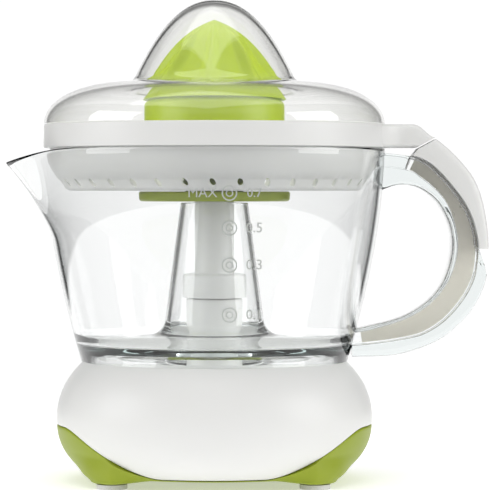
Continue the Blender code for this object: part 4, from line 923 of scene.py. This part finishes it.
def spindle_grid(columns=192):
    """The sleeve's profile from its six-sided head down over the collar and up its bore."""
    collar, top = (float(corner[2]) for corner in box_mm("drive_spindle"))
    neck, shoulder, drip, bore_end = BASKET_Z + 6.0, collar + 10.3, collar + 7.5, collar + 36.0
    round_part = rounded([(SLEEVE_R, neck, 0.6), (SLEEVE_R, shoulder, 1.2), (COLLAR_R, shoulder, 1.2),
                          (COLLAR_R, collar, 0.4), (COLLAR_R - 1.25, collar, 0.3),
                          (COLLAR_R - 1.25, drip, 0.5), (SHAFT_FIT_R, drip, 0.3),
                          (SHAFT_FIT_R, bore_end, 0.2)], closed=False)
    turn = np.linspace(0, 2 * math.pi, columns, endpoint=False)
    sector = math.pi / 3
    hexagon = HEAD_R * math.cos(sector / 2) / np.cos(np.mod(turn, sector) - sector / 2)
    head = [(0.0, top), (0.92, top), (1.0, top - 0.7), (1.0, neck)]
    rows = [np.column_stack([share * hexagon * np.cos(turn), share * hexagon * np.sin(turn),
                             np.full(columns, z)]) for share, z in head]
    closing = spun(np.array([(0.0, bore_end)]), columns)
    return np.concatenate([np.stack(rows), spun(round_part, columns), closing])


spindle = skin("drive_sleeve", spindle_grid(), sharp=35)
dress(spindle, white_abs, "drive", "white_plastic", "drive_spindle")

# %% [markdown]
# ## The reaming cone
# The cone has narrow ridges with broad hollows between them, swept a little as they rise, because fruit
# is pressed down and turned. The outline comes from one cubic, and the ridges are a cosine of the angle,
# raised to a power so that its crests are thin. Their depth fades out at the tip and at the shoulder.

# %% Ridged cone
RIDGES, SWEEP, SHOULDER_DROP = 8, 0.12, 34.0
SKIRT_R, SKIRT_INSIDE, STEM_R, HEX_FIT_R = 31.2, 29.2, 11.2, 8.2


def cone_radius(drop):
    """Solves drop = 0.35 r + 0.012 r^2 + 0.0003 r^3 for the radius, by a table."""
    r = np.linspace(0, 60, 600)
    return np.interp(drop, 0.35 * r + 0.012 * r**2 + 0.0003 * r**3, r)


def cone_grid(columns=384):
    """Outer ridged surface, shoulder and skirt, then the hollow inside with its stem and socket."""
    turn = np.linspace(0, 2 * math.pi, columns, endpoint=False)[None]
    share = np.concatenate([[0.0], np.linspace(0.1, 1, 60) ** 1.6])[:, None] * 0.985
    crest = np.abs(np.cos((turn + SWEEP * share) * RIDGES / 2))
    depth = 0.18 * np.sin(math.pi * np.clip(share * 1.08, 0, 1)) ** 0.8 + 0.012 * (share > 0.02)
    body = cone_radius(SHOULDER_DROP * share) * (1 - depth * (1 - crest**8))
    height = CONE_TIP - SHOULDER_DROP * share + 0 * turn
    ridged = np.stack([body * np.cos(turn), body * np.sin(turn), height], -1)
    top, stem_end, socket_end = CONE_TIP - SHOULDER_DROP, CONE_LOW + 6.0, CONE_TIP - SHOULDER_DROP - 5.4
    skirt = rounded([(SKIRT_INSIDE, top + 0.3, 0.3), (SKIRT_R, top - 1.6, 1.6), (SKIRT_R, CONE_LOW, 0.5),
                     (SKIRT_INSIDE, CONE_LOW, 0.4), (SKIRT_INSIDE, top - 2.4, 1.2), (22.0, top + 6.0, 2.0),
                     (STEM_R, top + 8.0, 1.0), (STEM_R, stem_end, 0.4), (HEX_FIT_R, stem_end, 0.3),
                     (HEX_FIT_R, socket_end, 0.3), (0.0, socket_end, 0)], closed=False)
    return np.concatenate([ridged, spun(skirt, columns)])


cone = skin("ridged_cone", cone_grid(), sharp=60)
dress(cone, green_abs, "cone", "green_plastic", "reamer_cone")

# %% [markdown]
# ## Dust cover
# The clear cover rests on the ring. Its shoulder is nearly a quarter ellipse, and the dome over the cone
# is close to a parabola. The wall is 1.3 mm at the edge and grows to 2 mm at the crown, where the plastic
# enters the mould. That thicker crown is what draws the grey band along the top of the dome.

# %% Dome and shoulder
DOME_R, DOME_H, SHOULDER_H = 35.5, 34.4, 18.5
COVER_T, CROWN_T = 1.3, 2.0


def cover_outline(shrink, crown, points=26):
    """Profile from the crown out to the edge, set in by a wall that is thicker towards the crown."""
    s = np.linspace(0, 1, points)
    dome_r = DOME_R - shrink
    base = COVER_TOP - DOME_H - crown * 0.05 - shrink * 0.2
    dome = np.column_stack([dome_r * s, base + (COVER_TOP - crown - base) * (1 - s**2.2)])
    u = np.sin(np.linspace(0.05, math.pi / 2, points))
    span = BODY_R - DOME_R
    shoulder = np.column_stack([DOME_R - shrink * 0.3 + (span - shrink * 0.7) * u,
                                COVER_Z + (SHOULDER_H - shrink) * np.sqrt(np.clip(1 - u**2.35, 0, 1))])
    return dome, shoulder


outer_dome, outer_shoulder = cover_outline(0.0, 0.0)
inner_dome, inner_shoulder = cover_outline(COVER_T, CROWN_T)
cover_profile = np.vstack([outer_dome, outer_shoulder, inner_shoulder[::-1], inner_dome[::-1]])
cover = skin("clear_dust_cover", spun(cover_profile, 256), sharp=45)
dress(cover, clear_cover, "cover", "clear_cover", "dust_cover")

# %% [markdown]
# ## Inside pieces
# Motor, gears, shafts, screws and switch keep their engineering shapes and only get real finishes. Each
# record slot is matched with one of the materials above. The nodes that new pieces stand for get theirs
# as well, though they aren't shown.

# %% Finishes for the pieces that stay
by_slot = {"steel": steel, "brass": bronze, "iron_laminations": iron_sheets, "copper_wire": copper_wire,
           "nylon": acetal, "black_plastic": black_nylon, "white_plastic": white_abs, "rubber": rubber,
           "olive_plastic": base_green_abs, "green_plastic": green_abs, "clear_jug": clear_jug,
           "clear_cover": clear_cover}
for entry in frame["record"]["subparts"]:
    node = frame["nodes"][entry["node"]]
    node.data.materials.clear()
    node.data.materials.append(by_slot[entry["material_slot"]])

# %% [markdown]
# The return spring is the one inside piece that gets a new shape. Its top hangs on the shaft's clip and
# its foot stays on the lower bush, so when the cone is pressed down the coil gets shorter; here it is built
# at one length only. Its end turns lie closed, and the wire is one round section carried along a helix.

# %% Return spring
SPRING_TURNS, WIRE_R, PRESS_TRAVEL = 6, 0.45, 2.5


def spring_grid(low, high, radius, steps=40, points=10):
    """Wire along a helix between two heights; each end turn rises by only a twentieth of the way."""
    turn = np.linspace(0, SPRING_TURNS * 2 * math.pi, SPRING_TURNS * steps + 1)
    share = turn / turn[-1]
    ease = np.interp(share, [0, 1 / SPRING_TURNS, 1 - 1 / SPRING_TURNS, 1], [0, 0.05, 0.95, 1])
    height = low + WIRE_R + (high - low - 2 * WIRE_R) * ease
    about = np.linspace(0, 2 * math.pi, points, endpoint=False)
    r = radius + WIRE_R * np.cos(about)[None]
    return np.stack([r * np.cos(turn)[:, None], r * np.sin(turn)[:, None],
                     height[:, None] + WIRE_R * np.sin(about)[None]], -1)


spring_low, spring_high = box_mm("return_spring")
coil_r = spring_high[1] - WIRE_R
spring = skin("return_spring_coil", spring_grid(spring_low[2], spring_high[2], coil_r), ends=True)
dress(spring, steel, "drive", "steel", "return_spring")
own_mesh(spring)

# %% [markdown]
# ## Studio
# The juicer stands on a pale floor. Behind it is a bright backdrop that reaches about 24 degrees to every
# side, and the rest of the room is dim, apart from a soft ceiling and some light from the front. Along
# its edges clear plastic bends the view by more than those 24 degrees, so it shows the dim room there.
# That is what draws the dark line along each wall. Three soft lamps light the opaque pieces.

# %% Floor and world
def wide_floor():
    """A round floor a little over a metre across, as rings on a grid."""
    radii = np.array([0.0001, 150.0, 300.0, 450.0, 600.0])
    return skin("studio_floor", spun(np.column_stack([radii, 0 * radii]), 96))


def pale_floor_finish():
    """Matt white card with a faint fibre and a little glow of its own, so that it meets the background."""
    made, tree, output, place = new_material("matt_white_card")
    fibre = add(tree, "ShaderNodeTexNoise", Vector=place, Scale=300.0, Detail=4.0)
    tone = two_tones(tree, "#FAFAFA", "#F6F6F6", fibre.outputs["Fac"])
    shader = add(tree, "ShaderNodeBsdfPrincipled", Base_Color=tone, Roughness=0.9,
                 Emission_Color=(1, 1, 1, 1), Emission_Strength=0.4)
    tree.links.new(shader.outputs["BSDF"], output.inputs["Surface"])
    return made


floor = wide_floor()
floor.data.materials.append(pale_floor_finish())

world = bpy.data.worlds.new("bright_studio")
bpy.context.scene.world = world
world.use_nodes = True
sky = world.node_tree
sky.nodes.clear()
view = add(sky, "ShaderNodeSeparateXYZ", Vector=add(sky, "ShaderNodeTexCoord").outputs["Generated"])


def fade(axis, start, end, first, last):
    """Brightness going smoothly from first to last as the view's share along an axis goes start to end."""
    ramp = add(sky, "ShaderNodeMapRange", {"interpolation_type": "SMOOTHSTEP"}, Value=view.outputs[axis],
               From_Min=start, From_Max=end, To_Min=first, To_Max=last)
    return ramp.outputs["Result"]


def total(first, second):
    """The sum of two brightness sockets."""
    plus = add(sky, "ShaderNodeMath", {"operation": "ADD"})
    sky.links.new(first, plus.inputs[0])
    sky.links.new(second, plus.inputs[1])
    return plus.outputs[0]


backdrop = fade("Y", 0.88, 0.94, 0.0, 1.0)
ceiling = fade("Z", 0.3, 0.85, 0.0, 0.5)
room = fade("Y", -0.85, -0.3, 0.52, 0.04)
glow = add(sky, "ShaderNodeBackground", Color=(1, 1, 1, 1), Strength=total(total(ceiling, room), backdrop))
sky.links.new(glow.outputs["Background"], add(sky, "ShaderNodeOutputWorld").inputs["Surface"])
print("studio world ready")

# %% Lamps
def soft_lamp(name, place, target, size, watts):
    """A square area lamp at a place in metres, turned to face a target."""
    data = bpy.data.lights.new(name, "AREA")
    data.shape, data.size, data.energy = "SQUARE", size, watts
    lamp = bpy.data.objects.new(name, data)
    lamp.location = place
    aim = np.array(target, float) - np.array(place, float)
    yaw, pitch = math.atan2(aim[1], aim[0]), math.atan2(aim[2], math.hypot(aim[0], aim[1]))
    lamp.rotation_euler = (pitch + math.pi / 2, 0, yaw - math.pi / 2)
    bpy.context.scene.collection.objects.link(lamp)
    return lamp


middle = (0.0, 0.0, 0.1)
soft_lamp("overhead_softbox", (-0.1, -0.1, 1.4), middle, 1.2, 5.4)
soft_lamp("left_softbox", (-1.3, -0.4, 0.55), middle, 0.9, 7.0)
soft_lamp("right_softbox", (1.3, -0.4, 0.55), middle, 0.9, 7.8)
bpy.context.scene.view_settings.view_transform = "Standard"
print("three lamps")

# %% [markdown]
# The camera stands about 1.2 m in front, a little above the juicer's waist, with a long lens. A long lens
# from there keeps the rims almost flat, so the ring and the scale read clearly. It tips down by one
# degree so that the feet stay in the frame.

# %% Camera
CAMERA_SIDE, CAMERA_BACK, CAMERA_UP, TIP_DOWN = 13.6, 1224.0, 127.7, 1.083
lens = bpy.data.cameras.new("portrait_lens")
lens.lens, lens.sensor_width = 202.0, 36.0
camera = bpy.data.objects.new("camera", lens)
camera.location = ((AXIS + CAMERA_SIDE) * MM, -CAMERA_BACK * MM, CAMERA_UP * MM)
camera.rotation_euler = (math.radians(90 - TIP_DOWN), 0, 0)
bpy.context.scene.collection.objects.link(camera)
bpy.context.scene.camera = camera
print("camera at", tuple(round(v, 3) for v in camera.location))
